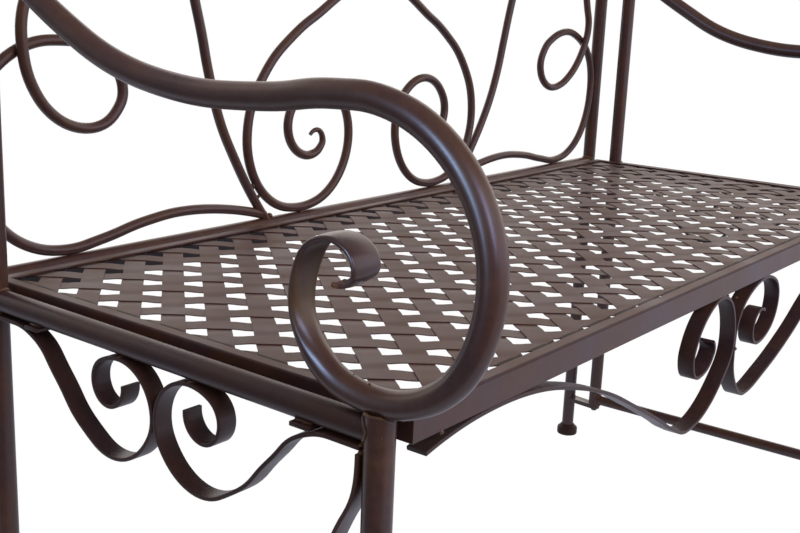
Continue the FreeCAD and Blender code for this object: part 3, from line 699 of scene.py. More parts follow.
# %% The flat bars' bend lines
BRACE_LINE = [(11, 416, -90), (13, 392), (27.5, 360), (53.5, 300), (63.5, 255, -90), (53.5, 205),
              (26.5, 150), (11, 110, -90)]
SCROLL_START_Z, SCROLL_TOUCH, SCROLL_TOP = 420.5, 386.5, RAIL_Z - TUBE_DIA / 2 - BAR_THICK / 2
SIDE_SCROLL = [(33.5, SCROLL_START_Z, 0), (59.5, 413), (83.5, 389.5), (109.5, 362), (146.5, 345.5, 0),
               (178.5, 359.5), (POST_BEHIND / 2 - BAR_THICK / 2, SCROLL_TOUCH, 90),
               (156.5, SCROLL_TOP, 180), (127.5, 400.5, -90), (143.5, 383.5, 0), (160.5, 402.5)]
APRON_RISE = [(-486, 411), (-450, 417.5), (-405, 420, 0), (-350, 415.5)]
APRON_LINES = {
    "left": APRON_RISE + [(-300, 403.3), (-250, 385.6), (-200, 361), (-150, 334.3), (-125, 320.2),
                          (-91, 308, 0), (-32, 329), (-1.5, 372, 90), (-40, 420, 180), (-71, 408.4),
                          (-88, 388.5), (-92.6, 373.5, -90), (-77.5, 354.3, 0), (-50.5, 366),
                          (-46.8, 373.5, 90), (-51, 381.5)],
    "right": APRON_RISE + [(-295, 402), (-227, 375), (-159, 342), (-100, 321), (-41, 308.5, 0), (-9, 332),
                           (-1.5, 372, 90), (-66, 420, 180), (-107, 391, -90), (-62, 355, 0), (-46, 368),
                           (-73, 386)],
}
print("points along the left apron:", len(bend_line(APRON_LINES["left"])))

# %% Bend the flat bars
APRON_Y = SEAT_FRONT_Y + BAR_WIDTH / 2
SHADED_FROM, FACING_UP = 398, 0.8
for side_name, side in SIDES:
    across = (math.cos(TOE_IN), side * math.sin(TOE_IN), 0.0)
    front = bend_line([(LEG_DIA / 2, SCROLL_START_Z)] + SIDE_SCROLL)
    rear = bend_line([(TUBE_DIA / 2, SCROLL_START_Z)] + SIDE_SCROLL)
    flat_bar(f"side_scroll_front_{side_name}", [in_side(side, a, b) for (a, b), _ in front], across)
    flat_bar(f"side_scroll_rear_{side_name}", [in_side(side, POST_BEHIND - a, b) for (a, b), _ in rear],
             across)
    flat_bar(f"leg_brace_{side_name}", [in_side(side, a, b) for (a, b), _ in bend_line(BRACE_LINE)], across,
             finish=bronze_coat)
    apron = flat_bar(f"front_scroll_{side_name}",
                     [(-side * a, APRON_Y, b) for (a, b), _ in bend_line(APRON_LINES[side_name])],
                     (0.0, 1.0, 0.0))
    # Painted shade: the apron's faces that look up near its outer ends take the near-black recess coat.
    apron.data.materials.append(painted_recess_shade_coat)
    for face in apron.data.polygons:
        face.material_index = int(face.normal.z > FACING_UP and abs(face.center.x) > SHADED_FROM * MM)
    print(apron.name, "shaded faces:", sum(face.material_index for face in apron.data.polygons))

# %% [markdown]
# ## The arms
# The arm is one tube whose front end was pressed flat in a die, with rounded rims and a faint dish, and
# rolled up to a tongue whose cut end has rusted. A sweep has one section, so the arm is lofted by hand
# through sections that change along the line. Each point notes how much gold and how much rust it has, for
# the coat to read. The two windows are linked to a collection that holds only the arms, because in
# the photograph nothing else has their streaks.

# %% The arm's lines and sections
ARM_FRONT = [(44, 620.7), (10, 620.5), (-22.5, 610), (-63.5, 566), (-69.5, 515), (-43.5, 466),
             (3.5, ARM_LOW, 0), (47.5, 464)]
ARM_LINES = {
    "left": [(385.5, 708), (300, 651.6), (234.5, 623.6), (169, 612.5), (94, 614.4)] + ARM_FRONT,
    "right": [(385.5, 715), (310, 666.6), (243.8, 632.9), (169, 617.1), (94, 617)] + ARM_FRONT,
}
ARM_ROLL = [(63.5, 500), (35, 540.7, 180), (14.6, 525, -90), (22.5, 516.2), (35, 513)]
PRESS_WIDTH, PRESS_RISE, PRESS_DISH, PRESS_RIM, PRESS_TIP = 24.4, 2.3, -1, 1.7, 13
ROUND_RIM_SHARE, FLATTEN_RATE, TIP_RATE = 0.3, 2.2, 6
BROAD_STEPS, RIM_STEPS = 12, 5


def three_point_arc(first, middle, last, steps):
    """Points of the circle through three points, from the first to just before the last."""
    (ax, ay), (bx, by), (cx, cy) = first, middle, last
    d = 2 * (ax * (by - cy) + bx * (cy - ay) + cx * (ay - by))
    ux = ((ax**2 + ay**2) * (by - cy) + (bx**2 + by**2) * (cy - ay) + (cx**2 + cy**2) * (ay - by)) / d
    uy = ((ax**2 + ay**2) * (cx - bx) + (bx**2 + by**2) * (ax - cx) + (cx**2 + cy**2) * (bx - ax)) / d
    start = math.atan2(ay - uy, ax - ux)
    by_middle = math.atan2(by - uy, bx - ux)
    turn = wrapped(by_middle - start) + wrapped(math.atan2(cy - uy, cx - ux) - by_middle)
    radius = math.hypot(ax - ux, ay - uy)
    return [(ux + radius * math.cos(t), uy + radius * math.sin(t))
            for t in (start + turn * k / steps for k in range(steps))]


def press_section(fraction):
    """(across, outward) points of the arm's outline, round at fraction 0, flattened later."""
    radius = TUBE_DIA / 2
    first_rim = radius * ROUND_RIM_SHARE
    first_shoulder = math.sqrt(radius ** 2 - first_rim ** 2)
    flat = min(1, FLATTEN_RATE * fraction)
    tip = max(0, TIP_RATE * fraction - (TIP_RATE - 1)) * (PRESS_WIDTH - PRESS_TIP) / 2
    half = radius + flat * (PRESS_WIDTH / 2 - radius) - tip
    rim = first_rim + flat * (PRESS_RIM - first_rim)
    shoulder = first_shoulder + flat * (PRESS_WIDTH / 2 - PRESS_RIM - first_shoulder) - tip
    rise = radius + flat * (PRESS_RISE - radius)
    dish = -radius + flat * (PRESS_DISH + radius)
    return (three_point_arc((-shoulder, rim), (0, rise), (shoulder, rim), BROAD_STEPS)
            + three_point_arc((shoulder, rim), (half, 0), (shoulder, -rim), RIM_STEPS)
            + three_point_arc((shoulder, -rim), (0, dish), (-shoulder, -rim), BROAD_STEPS)
            + three_point_arc((-shoulder, -rim), (-half, 0), (-shoulder, rim), RIM_STEPS))


print("points of a section:", len(press_section(0)))

# %% Loft the arms
GOLD_PATCH_AT, GOLD_PATCH_SPAN = 0.3, 0.3
RUST_FROM, RUST_SPAN = 0.86, 0.1


def mesh_of(bm):
    """Mesh of a finished bmesh, with its faces turned outward."""
    bmesh.ops.recalc_face_normals(bm, faces=bm.faces)
    mesh = bpy.data.meshes.new("piece")
    bm.to_mesh(mesh)
    bm.free()
    return mesh


def skinned(rings):
    """Mesh over rings of corners: faces from ring to ring, then one over each end."""
    bm = bmesh.new()
    rings = [[bm.verts.new(corner) for corner in ring] for ring in rings]
    for near, far in zip(rings, rings[1:]):
        for k in range(len(near)):
            j = (k + 1) % len(near)
            bm.faces.new((near[k], near[j], far[j], far[k]))
    bm.faces.new(rings[0])
    bm.faces.new(rings[-1])
    return mesh_of(bm)


def arm(side_name, side):
    line = bend_line(ARM_LINES[side_name] + ARM_ROLL)
    runs = run_lengths([p for p, _ in line])
    press_from = next(r for r, (p, _) in zip(runs, line) if math.dist(p, ARM_FRONT[-1]) < 0.01)
    fractions = [max(0, (run - press_from) / (runs[-1] - press_from)) for run in runs]
    rings = []
    for fraction, ((a, b), heading) in zip(fractions, line):
        rings.append([Vector(in_side(side, a + outward * math.sin(heading), b - outward * math.cos(heading),
                                     across)) * MM for across, outward in press_section(fraction)])
    mesh = skinned(rings)
    gold_patch = [max(0, 1 - abs(fraction - GOLD_PATCH_AT) / GOLD_PATCH_SPAN) for fraction in fractions]
    rust = [max(0, (fraction - RUST_FROM) / RUST_SPAN) for fraction in fractions]
    for label, values in (("gold_patch", gold_patch), ("rust", rust)):
        noted = mesh.attributes.new(label, "FLOAT", "POINT")
        noted.data.foreach_set("value", [value for value in values for _ in rings[0]])
    mesh.materials.append(worn_coat)
    return keep(f"arm_{side_name}_pressed", mesh, "bronze_coat", f"arm_{side_name}")


streaked = bpy.data.collections.new("window_streaks")
for side_name, side in SIDES:
    piece = arm(side_name, side)
    streaked.objects.link(piece)
    print(piece.name, "faces:", len(piece.data.polygons))
for window in (window_left, window_front):
    window.light_linking.receiver_collection = streaked

# %% [markdown]
# ## The seat's frame
# Four lengths of rolled angle, mitred and welded at the corners. Rolled angle has a soft outer corner, so
# the section is drawn as an outline with a small round and pushed along the bar, with each point cut off on
# the mitre. The faces have finishes of their own: the upright side like the tubes, the soft corner as a line
# of painted shade, the flange on top as dull as the weave, and the hollow inside nearly black with painted
# shade.

# %% Draw the angle bars
CORNER_ROUND, ROUND_STEPS = 1.8, 5
CUT_EASE = 0.3
ANGLE_COATS = (bronze_coat, painted_corner_shade_coat, flange_coat, painted_recess_shade_coat)


def angle_section():
    """(inward, height) outline, from the outer corner's foot round over the flange to the inside."""
    corner = [(CORNER_ROUND - CORNER_ROUND * math.cos(t),
               FRAME_HEIGHT - CORNER_ROUND + CORNER_ROUND * math.sin(t))
              for t in (math.pi / 2 * k / ROUND_STEPS for k in range(ROUND_STEPS + 1))]
    corner = [(0, corner[0][1] - CUT_EASE)] + corner + [(corner[-1][0] + CUT_EASE, FRAME_HEIGHT)]
    nose = [(FLANGE_WIDTH - CUT_EASE, FRAME_HEIGHT), (FLANGE_WIDTH, FRAME_HEIGHT - CUT_EASE),
            (FLANGE_WIDTH, FRAME_HEIGHT - FRAME_WALL)]
    inner = [(FRAME_WALL, FRAME_HEIGHT - FRAME_WALL), (FRAME_WALL, CUT_EASE), (FRAME_WALL - CUT_EASE, 0),
             (CUT_EASE, 0), (0, CUT_EASE)]
    return corner + nose + inner


def angle_bar(node, length, centre, turn):
    outline = angle_section()
    place = Matrix.Translation(Vector(centre) * MM) @ Matrix.Rotation(turn, 4, "Z")
    mesh = skinned([[place @ (Vector((way * (length / 2 - inward), inward, height)) * MM)
                     for inward, height in outline] for way in (-1, 1)])
    for material in ANGLE_COATS:
        mesh.materials.append(material)
    for face, start, end in zip(mesh.polygons, outline, outline[1:] + outline[:1]):
        inward, height = ((start[n] + end[n]) / 2 for n in (0, 1))
        # Painted shade on the outer round.
        if inward < FRAME_WALL and height > FRAME_HEIGHT - CORNER_ROUND:
            face.material_index = ANGLE_COATS.index(painted_corner_shade_coat)
        elif height > FRAME_HEIGHT - CUT_EASE:
            face.material_index = ANGLE_COATS.index(flange_coat)
        # Painted shade on the hollow inside.
        elif inward >= FRAME_WALL and height <= FRAME_HEIGHT - FRAME_WALL:
            face.material_index = ANGLE_COATS.index(painted_recess_shade_coat)
    return keep(node + "_angle", mesh, "bronze_coat", node)


FRAME_BASE = SEAT_HEIGHT - FRAME_HEIGHT
SEAT_MIDDLE_Y = SEAT_FRONT_Y + SEAT_DEPTH / 2
angle_bar("seat_frame_front", SEAT_LENGTH, (0, SEAT_FRONT_Y, FRAME_BASE), 0)
angle_bar("seat_frame_back", SEAT_LENGTH, (0, SEAT_FRONT_Y + SEAT_DEPTH, FRAME_BASE), math.pi)
angle_bar("seat_frame_left", SEAT_DEPTH, (-SEAT_LENGTH / 2, SEAT_MIDDLE_Y, FRAME_BASE), -math.pi / 2)
angle_bar("seat_frame_right", SEAT_DEPTH, (SEAT_LENGTH / 2, SEAT_MIDDLE_Y, FRAME_BASE), math.pi / 2)
print("points of the angle's outline:", len(angle_section()))

# %% [markdown]
# ## The woven seat
# Flat strips on both diagonals pass over and under each other in turn. A strip's height is a smooth wave of
# its depth on the seat, so one tree makes both sets: it resamples each strip's line, lifts it by the wave,
# sweeps a thin rounded section along it, turns the whole weave a little, as it sits in the real frame, and
# trims it to the frame's inside. It also notes how far along and how far round each point is, for the
# rolling marks.

# %% A tree that weaves one set of strips
FLAT_SHARE = 1.77
STRIP_STEP = 0.0035


def weave_tree():
    tree, given = new_tree("woven_strips", Width=0.0175, Thickness=0.0008, Edge=0.00025, Step=0.0246,
                           Lift=0.0004, Across=(0.0, 1.0, 0.0), Turn=(0.0, 0.0, 0.0),
                           Crossing=(0.0, 0.0, 0.4), Room=(1.0, 0.4, 0.01), Middle=(0.0, 0.0, 0.4),
                           Coat=None)
    strips = add(tree, "GeometryNodeMeshToCurve", {"Mesh": given["Geometry"]})
    fine = add(tree, "GeometryNodeResampleCurve", {"Curve": strips, "Length": STRIP_STEP}, mode="LENGTH")
    parts = add(tree, "ShaderNodeSeparateXYZ", {0: add(tree, "GeometryNodeInputPosition")})
    crossing = add(tree, "ShaderNodeMath", {0: parts.outputs["Y"], 1: given["Step"]}, operation="DIVIDE")
    angle = add(tree, "ShaderNodeMath", {0: crossing, 1: math.pi}, operation="MULTIPLY")
    swing = add(tree, "ShaderNodeMath", {0: angle}, operation="COSINE")
    level = add(tree, "ShaderNodeMapRange",
                {"Value": swing, "From Min": -1 / FLAT_SHARE, "From Max": 1 / FLAT_SHARE,
                 "To Min": -1.0, "To Max": 1.0}, interpolation_type="SMOOTHSTEP")
    height = add(tree, "ShaderNodeMath", {0: level, 1: given["Lift"]}, operation="MULTIPLY")
    wavy = add(tree, "GeometryNodeSetPosition",
               {"Geometry": fine, "Offset": add(tree, "ShaderNodeCombineXYZ", {2: height})})
    held = add(tree, "GeometryNodeSetCurveNormal", {"Curve": wavy, "Normal": given["Across"]}, mode="FREE")
    gone = add(tree, "GeometryNodeSplineParameter")
    line = add(tree, "GeometryNodeStoreNamedAttribute",
               {"Geometry": held, "Name": "run", "Value": gone.outputs["Length"]})
    blank = add(tree, "GeometryNodeCurvePrimitiveQuadrilateral",
                {"Width": given["Width"], "Height": given["Thickness"]})
    section = add(tree, "GeometryNodeFilletCurve", {"Curve": blank, "Count": 2, "Radius": given["Edge"]},
                  mode="POLY")
    section = add(tree, "GeometryNodeStoreNamedAttribute",
                  {"Geometry": section, "Name": "around", "Value": gone.outputs["Factor"]})
    bars = add(tree, "GeometryNodeCurveToMesh",
               {"Curve": line, "Profile Curve": section, "Fill Caps": True})
    turned = add(tree, "GeometryNodeTransform",
                 {"Geometry": bars, "Translation": given["Crossing"], "Rotation": given["Turn"]})
    cube = add(tree, "GeometryNodeMeshCube", {"Size": given["Room"]})
    room = add(tree, "GeometryNodeTransform",
               {"Geometry": cube.outputs["Mesh"], "Translation": given["Middle"]})
    trimmed = add(tree, "GeometryNodeMeshBoolean", {"Mesh 2": turned}, operation="INTERSECT",
                  solver="MANIFOLD")
    tree.links.new(room.outputs["Geometry"], trimmed.inputs["Mesh 2"])
    return end_tree(tree, trimmed.outputs["Mesh"], given["Coat"])


strip_tree = weave_tree()
print("nodes in the weave:", len(strip_tree.nodes))

# %% Weave the strips
STEP_X, STEP_Y = 21.07, 24.63
STRIP_WIDTH, STRIP_THICK, STRIP_GAP = 17.5, 0.8, 0.04
WEAVE_SHIFT = (4.96, -9.44)
WEAVE_TURN = math.radians(-0.65)
WEAVE_Z = SEAT_HEIGHT - FRAME_WALL - STRIP_THICK
ROOM_X = SEAT_LENGTH / 2 - FRAME_WALL
ROOM_Y = SEAT_DEPTH / 2 - FRAME_WALL
ROOM_HEIGHT = 20
STRIPS_ASIDE, SPARE_STEPS, SHORTEST_STRIP = 24, 1.6, 0.3


def strip_lines(way):
    """An edge for each strip across the seat, measured from a crossing, a little longer than the room."""
    mesh = bpy.data.meshes.new("strip_lines")
    ends = []
    for pair in range(-STRIPS_ASIDE, STRIPS_ASIDE + 1):
        x = 2 * pair * STEP_X
        first, last = sorted(way * (end - WEAVE_SHIFT[1]) / STEP_Y for end in (-ROOM_Y, ROOM_Y))
        first = max(first, (-ROOM_X - WEAVE_SHIFT[0] - x) / STEP_X) - SPARE_STEPS
        last = min(last, (ROOM_X - WEAVE_SHIFT[0] - x) / STEP_X) + SPARE_STEPS
        if last - first > 2 * SPARE_STEPS + SHORTEST_STRIP:
            ends += [Vector((x + k * STEP_X, way * k * STEP_Y, 0)) * MM for k in (first, last)]
    mesh.from_pydata(ends, [(i, i + 1) for i in range(0, len(ends), 2)], [])
    return mesh


pitch = math.hypot(STEP_X, STEP_Y)
for node, way, lift in (("seat_strips_rising", 1, -1), ("seat_strips_falling", -1, 1)):
    settings = {"Width": STRIP_WIDTH * MM, "Thickness": (STRIP_THICK - STRIP_GAP) * MM, "Step": STEP_Y * MM,
                "Lift": lift * STRIP_THICK / 2 * MM, "Across": (-way * STEP_Y / pitch, STEP_X / pitch, 0.0),
                "Turn": (0.0, 0.0, WEAVE_TURN),
                "Crossing": (WEAVE_SHIFT[0] * MM, (SEAT_MIDDLE_Y + WEAVE_SHIFT[1]) * MM, WEAVE_Z * MM),
                "Room": (2 * ROOM_X * MM, 2 * ROOM_Y * MM, ROOM_HEIGHT * MM),
                "Middle": (0.0, SEAT_MIDDLE_Y * MM, WEAVE_Z * MM), "Coat": seat_coat}
    mesh = grown(node, strip_lines(way), strip_tree, settings)
    piece = keep(node + "_woven", mesh, "seat_coat", node, sharp=FLAT_ANGLE)
    print(piece.name, "faces:", len(piece.data.polygons))

# %% [markdown]
# ## Feet and bolts
# Turned shapes: a foot cup with a soft rim and a shoulder round the leg, and a domed bolt head on a washer.
# An outline is spun round its axis, as on a lathe.

# %% Spin the feet and the bolt heads
SPIN_STEPS = 40
CUP_WALL = 1.5
CUP_SIDE = [(13.6, 0), (14.8, 0.5), (15.4, 1.6), (15.5, 3.0), (15.5, 9.0), (15.2, 10.4), (14.4, 11.4),
            (13.0, 12.4)]
BOLT = [(5.5, 0), (5.5, 0.6), (4.9, 1.1), (4.6, 2.2), (4.2, 3.2), (3.3, 4.0), (2.0, 4.4), (0.8, 4.5)]


def spun(outline, place, flip=False):
    """Mesh of an outline of (radius, height) in mm turned about the upright axis through place."""
    turns = [2 * math.pi * k / SPIN_STEPS for k in range(SPIN_STEPS)]
    rings = []
    for radius, height in outline:
        z = place[2] + (-height if flip else height)
        rings.append([Vector((place[0] + radius * math.cos(t), place[1] + radius * math.sin(t), z)) * MM
                      for t in turns])
    return skinned(rings)


def joined(meshes, material):
    """One mesh of several, with its material."""
    bm = bmesh.new()
    for mesh in meshes:
        bm.from_mesh(mesh)
        bpy.data.meshes.remove(mesh)
    whole = mesh_of(bm)
    whole.materials.append(material)
    return whole


for part, y, dia in (("front_foot", LEG_Y, LEG_DIA), ("rear_foot", BACK_Y, TUBE_DIA)):
    lip = dia / 2 + CUP_WALL
    cup = CUP_SIDE + [(lip + 0.6, 15.0), (lip, 15.8), (lip - 0.6, 16.0), (dia / 2 - 0.2, 16.0)]
    for side_name, side in SIDES:
        keep(f"{part}_{side_name}_cup", joined([spun(cup, (side * SIDE_X, y, 0))], rubber), "foot_rubber",
             f"{part}_{side_name}")
heads = []
for side_name, side in SIDES:
    heads.append(spun(BOLT, in_side(side, POST_BEHIND, POST_BOTTOM - LUG_THICK), flip=True))
    heads.append(spun(BOLT, in_side(side, POST_BEHIND, POST_TOP + LUG_THICK)))
keep("bolt_heads", joined(heads, bolt_coat), "bolt_steel", "frame_bolts")
print("bolt heads:", len(heads))

# %% [markdown]
# ## Lugs
# The lugs are sheared from flat bar and the CAD shape is right. A copy of each gets its triangles merged
# and its edges eased by half a millimetre, as filing and paint leave them.

# %% Ease the lugs' edges
EASE, SAME_PLACE = 0.5, 0.01
SAME_PLANE, TRUE_EDGE = math.radians(2), math.radians(50)


def eased(node):
    bm = bmesh.new()
    bm.from_mesh(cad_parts[node].data)
    bmesh.ops.remove_doubles(bm, verts=bm.verts, dist=SAME_PLACE * MM)
    bmesh.ops.dissolve_limit(bm, angle_limit=SAME_PLANE, verts=bm.verts, edges=bm.edges)
    edges = [e for e in bm.edges if len(e.link_faces) == 2 and e.calc_face_angle(0) > TRUE_EDGE]
    bmesh.ops.bevel(bm, geom=edges, offset=EASE * MM, segments=2, profile=0.6, affect="EDGES",
                    clamp_overlap=True)
    mesh = mesh_of(bm)
    # The seat lugs take the painted seat shade.
    mesh.materials.append(painted_seat_shade_coat if node.startswith("seat_lug") else bronze_coat)
    return keep(node + "_eased", mesh, "bronze_coat", node)


lugs = [eased(node) for node in sorted(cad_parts) if "_lug_" in node]
print("lugs:", len(lugs))

# %% [markdown]
# ## Weld seams
# Every joint is welded by hand. A seam is a lumpy fillet in the corner between two bars: round a tube's end
# it follows the saddle where the tube meets the next one, and a bar laid on another gets a short run across.
# The tree sweeps a circle along each seam, lets noise swell and shrink it, and pushes the surface about.

# %% Functions that trace a seam
SEAM_STEPS, END_SHARE = 36, 0.4
seam_lines = []


def seam(size, places, closed=False):
    """Notes a seam through places, with a bead of the given radius that is thinner at open ends."""
    sizes = [size if closed or 0 < k < len(places) - 1 else size * END_SHARE for k in range(len(places))]
    seam_lines.append((places, sizes, closed))


def saddle(centre, axis, radius, other_axis, other_radius, least=0):
    """Points where a tube that leaves centre along axis meets a tube round other_axis through centre."""
    axis, other = Vector(axis).normalized(), Vector(other_axis)
    first = axis.orthogonal().normalized()
    second = axis.cross(first)
    run = axis - other * axis.dot(other)
    points = []
    for k in range(SEAM_STEPS):
        t = 2 * math.pi * k / SEAM_STEPS
        out = (first * math.cos(t) + second * math.sin(t)) * radius
        beside = out - other * out.dot(other)
        room = beside.dot(run) ** 2 - run.length_squared * (beside.length_squared - other_radius ** 2)
        lift = (math.sqrt(max(0, room)) - beside.dot(run)) / run.length_squared
        points.append(Vector(centre) + out + axis * max(least, lift))
    return points


def on_side(side, points):
    """Places of points given as (across, behind, height) on a side frame."""
    return [in_side(side, p[1], p[2], p[0]) for p in points]


# %% List the seams
SEAM_OUT = 0.4
ACROSS_BAR, ALONG_LUG, UNDER_FRAME = (-6.8, -4, 0, 4, 6.8), (-7, -3, 0, 3, 7), (2, 5, 8, 11, 14)
TUBE, LEG, STRETCHER =(dia / 2 + SEAM_OUT for dia in (TUBE_DIA, LEG_DIA, STRETCHER_DIA))
RAIL_UNDER = RAIL_Z - TUBE_DIA / 2
UPWARD, DOWNWARD, BACKWARD, FRONTWARD = (0, 0, 1), (0, 0, -1), (0, 1, 0), (0, -1, 0)
for side_name, side in SIDES:
    arm_start, arm_heading = bend_line(ARM_LINES[side_name])[0]
    arm_way = (0, math.cos(arm_heading), math.sin(arm_heading))
    for size, ring in (
            (1.1, saddle((0, 0, ARM_LOW), DOWNWARD, LEG_DIA / 2 - 0.2, BACKWARD, TUBE, ARM_LOW - LEG_TOP)),
            (1.1, saddle((0, 0, RAIL_Z), BACKWARD, TUBE, UPWARD, LEG)),
            (1.5, saddle((0, POST_BEHIND, RAIL_Z), FRONTWARD, TUBE, UPWARD, TUBE)),
            (1.3, saddle((0, 0, STRETCHER_Z), BACKWARD, STRETCHER, UPWARD, LEG)),
            (1.3, saddle((0, POST_BEHIND, STRETCHER_Z), FRONTWARD, STRETCHER, UPWARD, TUBE)),
            (1.5, saddle((0, *arm_start), arm_way, TUBE, UPWARD, TUBE))):
        seam(size, on_side(side, ring), closed=True)
    seam(1.5, saddle((side * SIDE_X, BACK_Y, BOTTOM_RAIL_Z), (-side, 0, 0), TUBE, UPWARD, TUBE), closed=True)
    for a, b, size in ((LEG_DIA / 2, 422, 1.7), (156.5, RAIL_UNDER, 1.9),
                       (POST_BEHIND - 156.5, RAIL_UNDER, 1.9), (POST_BEHIND - TUBE_DIA / 2, 422, 1.7),
                       (LEG, 417, 1.6), (LEG, 109, 1.6), (POST_BEHIND / 2, SCROLL_TOUCH + 5, 1.4)):
        seam(size, on_side(side, [(across, a, b) for across in ACROSS_BAR]))
    for behind in (SEAT_LUG_BEHIND, POST_BEHIND - SEAT_LUG_BEHIND):
        for across in (-4, 4):
            seam(1.4, on_side(side, [(across, behind + d, RAIL_UNDER + 0.6) for d in ALONG_LUG]))
        seam(1.4, [(side * (SEAT_LENGTH / 2 + SEAM_OUT), LEG_Y + behind + d, FRAME_BASE) for d in ALONG_LUG])
    for z in (POST_BOTTOM - LUG_THICK, POST_BOTTOM, POST_TOP, POST_TOP + LUG_THICK):
        seam(1.1, [(side * SIDE_X + TUBE * math.sin(t), BACK_Y - TUBE * math.cos(t), z)
                   for t in (math.radians(d) for d in range(-60, 61, 20))])
    seam(1.5, [(side * 405, SEAT_FRONT_Y + d, FRAME_BASE) for d in UNDER_FRAME])
seam(1.5, [(0, SEAT_FRONT_Y + d, 364) for d in (1, 4, 8, 11, 14)])
for x in (-41, 66):
    seam(1.5, [(x, SEAT_FRONT_Y + d, FRAME_BASE) for d in UNDER_FRAME])
print("seams:", len(seam_lines))

# %% Lay the seams


def lumps_and_push(tree, given):
    """Noise in lumps of the given size, and the way it pushes a surface about."""
    often = add(tree, "ShaderNodeMath", {0: 1.0, 1: given["Lump"]}, operation="DIVIDE")
    lumps = add(tree, "ShaderNodeTexNoise", {"Scale": often, "Detail": 1.0})
    centred = add(tree, "ShaderNodeVectorMath", {0: lumps.outputs["Color"], 1: (0.5, 0.5, 0.5)},
                  operation="SUBTRACT")
    push = add(tree, "ShaderNodeVectorMath", {0: centred, "Scale": given["Push"]}, operation="SCALE")
    return lumps.outputs["Fac"], push


def seam_tree():
    tree, given = new_tree("weld_seams", Step=0.0012, Lump=0.0040, Push=0.0012, Coat=None)
    line = add(tree, "GeometryNodeMeshToCurve", {"Mesh": given["Geometry"]})
    fine = add(tree, "GeometryNodeResampleCurve", {"Curve": line, "Length": given["Step"]}, mode="LENGTH")
    lumps, push = lumps_and_push(tree, given)
    swell = add(tree, "ShaderNodeMapRange", {"Value": lumps, "From Min": 0.3, "From Max": 0.7,
                                             "To Min": 0.7, "To Max": 1.3})
    size = add(tree, "GeometryNodeInputNamedAttribute", {"Name": "size"})
    thick = add(tree, "ShaderNodeMath", {0: size, 1: swell}, operation="MULTIPLY")
    section = add(tree, "GeometryNodeCurvePrimitiveCircle", {"Resolution": 10, "Radius": 1.0})
    beads = add(tree, "GeometryNodeCurveToMesh",
                {"Curve": fine, "Profile Curve": section, "Scale": thick, "Fill Caps": True})
    lumpy = add(tree, "GeometryNodeSetPosition", {"Geometry": beads, "Offset": push})
    return end_tree(tree, lumpy, given["Coat"])


def sized(name, places, sizes, edges=()):
    """Mesh of points that each carry a size, for a tree to grow welds on."""
    mesh = bpy.data.meshes.new(name)
    mesh.from_pydata(places, edges, [])
    mesh.attributes.new("size", "FLOAT", "POINT").data.foreach_set("value", sizes)
    return mesh


seam_places, seam_sizes, seam_edges = [], [], []
for places, sizes, closed in seam_lines:
    first = len(seam_places)
    seam_places += [Vector(p) * MM for p in places]
    seam_sizes += [size * MM for size in sizes]
    seam_edges += [(first + k, first + k + 1) for k in range(len(places) - 1)]
    if closed:
        seam_edges.append((first + len(places) - 1, first))
seam_mesh = sized("seam_lines", seam_places, seam_sizes, seam_edges)
seams = keep("weld_seams", grown("weld_seams", seam_mesh, seam_tree(), {"Coat": weld_coat}), "bronze_coat",
             sharp=math.pi)
print(seams.name, "faces:", len(seams.data.polygons))

# %% [markdown]
# ## Weld nubs and spatter
# Where thin rods touch a rail or each other there is just a nub, and small drops of spatter stick to the
# tubes near the larger joints. Each is a low ball, instanced on a point with a random turn and squash.

# %% List the nubs and the drops
SPATTER_SEED, DROPS_ON_LEG = 5, 8
LOW_RODS_Z, NEXT_TOUCH_BELOW = SEAT_HEIGHT + 100, 6
nub_places, nub_sizes = [], []


def nub(place, size):
    nub_places.append(Vector(place) * MM)
    nub_sizes.append(size * MM)


def touching(first, second, below):
    """Point halfway between two lines where they come closest, below a height."""
    pairs = ((p, q) for p in first for q in second if p[2] < below and q[2] < below)
    p, q = min(pairs, key=lambda pair: math.dist(*pair))
    return (Vector(p) + Vector(q)) / 2


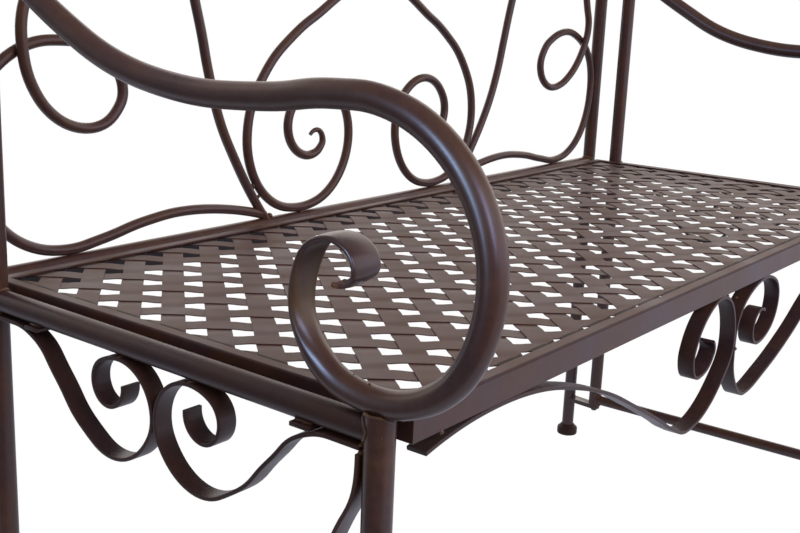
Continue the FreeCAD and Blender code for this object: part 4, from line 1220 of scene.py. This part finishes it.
drops = random.Random(SPATTER_SEED)
for side_name, side in SIDES:
    heart, lyre = heart_places[side], lyre_places[side]
    touch = touching(heart, lyre, LOW_RODS_Z)
    nub(touch, 2.6)
    nub(touching(heart, lyre, touch.z - NEXT_TOUCH_BELOW), 2.4)
    wave_start = WAVE_LINES[side_name][0]
    for out, above, size in ((507.5, 105, 3.2), (408, -0.5, 2.8), (117, -0.5, 2.8), (170, 0.5, 3.4),
                             (163.5, 1.2, 3.2), (172, 4, 3.4), (166, -0.5, 2.6),
                             (wave_start[0] - 1, wave_start[1] - 1, 3.2), (72, 413, 3.0),
                             (334, 395, 3.2), (391, 385, 3.2)):
        nub(in_back(side, out, above), size)
    for _ in range(DROPS_ON_LEG):
        turn, below = drops.uniform(0, 2 * math.pi), drops.uniform(3, 15)
        nub((side * SIDE_X + LEG_DIA / 2 * math.cos(turn), LEG_Y + LEG_DIA / 2 * math.sin(turn),
             LEG_TOP - below), drops.uniform(0.4, 0.8))
    for a, b in ((-25.5, 446.5), (-17.4, 443.1), (-6, 457.9), (9, 458), (21, 461)):
        nub(in_side(side, a, b), 0.7)
for above in (296, 302):
    nub(in_back(1, 0, above), 2.6)
for x, d, z, size in ((0.9, 0, 363.1, 1.9), (-29, 1, 420.3, 1.2), (30, 8, 419, 1.6),
                      (11.6, 8, 409, 1.4), (-471.7, 0.5, 421.0, 1.8)):
    nub((x, SEAT_FRONT_Y + d, z), size)
print("nubs and drops:", len(nub_places))

# %% Set the nubs


def nub_tree():
    tree, given = new_tree("weld_nubs", Lump=0.0040, Push=0.0016, Coat=None)
    size = add(tree, "GeometryNodeInputNamedAttribute", {"Name": "size"})
    uneven = add(tree, "FunctionNodeRandomValue", {0: (0.8, 0.8, 0.7), 1: (1.3, 1.2, 1.1), "Seed": 4},
                 data_type="FLOAT_VECTOR")
    scale = add(tree, "ShaderNodeVectorMath", {0: uneven, "Scale": size}, operation="SCALE")
    turn = add(tree, "FunctionNodeRandomValue", {0: (0.0, 0.0, 0.0), 1: (6.28, 6.28, 6.28), "Seed": 9},
               data_type="FLOAT_VECTOR")
    ball = add(tree, "GeometryNodeMeshIcoSphere", {"Radius": 1.0, "Subdivisions": 2})
    nubs = add(tree, "GeometryNodeInstanceOnPoints",
               {"Points": given["Geometry"], "Instance": ball.outputs["Mesh"], "Rotation": turn,
                "Scale": scale})
    # The balls are made real before the push, which would otherwise move each ball as a whole.
    balls = add(tree, "GeometryNodeRealizeInstances", {"Geometry": nubs})
    _, push = lumps_and_push(tree, given)
    lumpy = add(tree, "GeometryNodeSetPosition", {"Geometry": balls, "Offset": push})
    return end_tree(tree, lumpy, given["Coat"])


nub_mesh = sized("nub_places", nub_places, nub_sizes)
nubs = keep("weld_nubs", grown("weld_nubs", nub_mesh, nub_tree(), {"Coat": weld_coat}), "bronze_coat",
            sharp=math.pi)
print(nubs.name, "faces:", len(nubs.data.polygons))
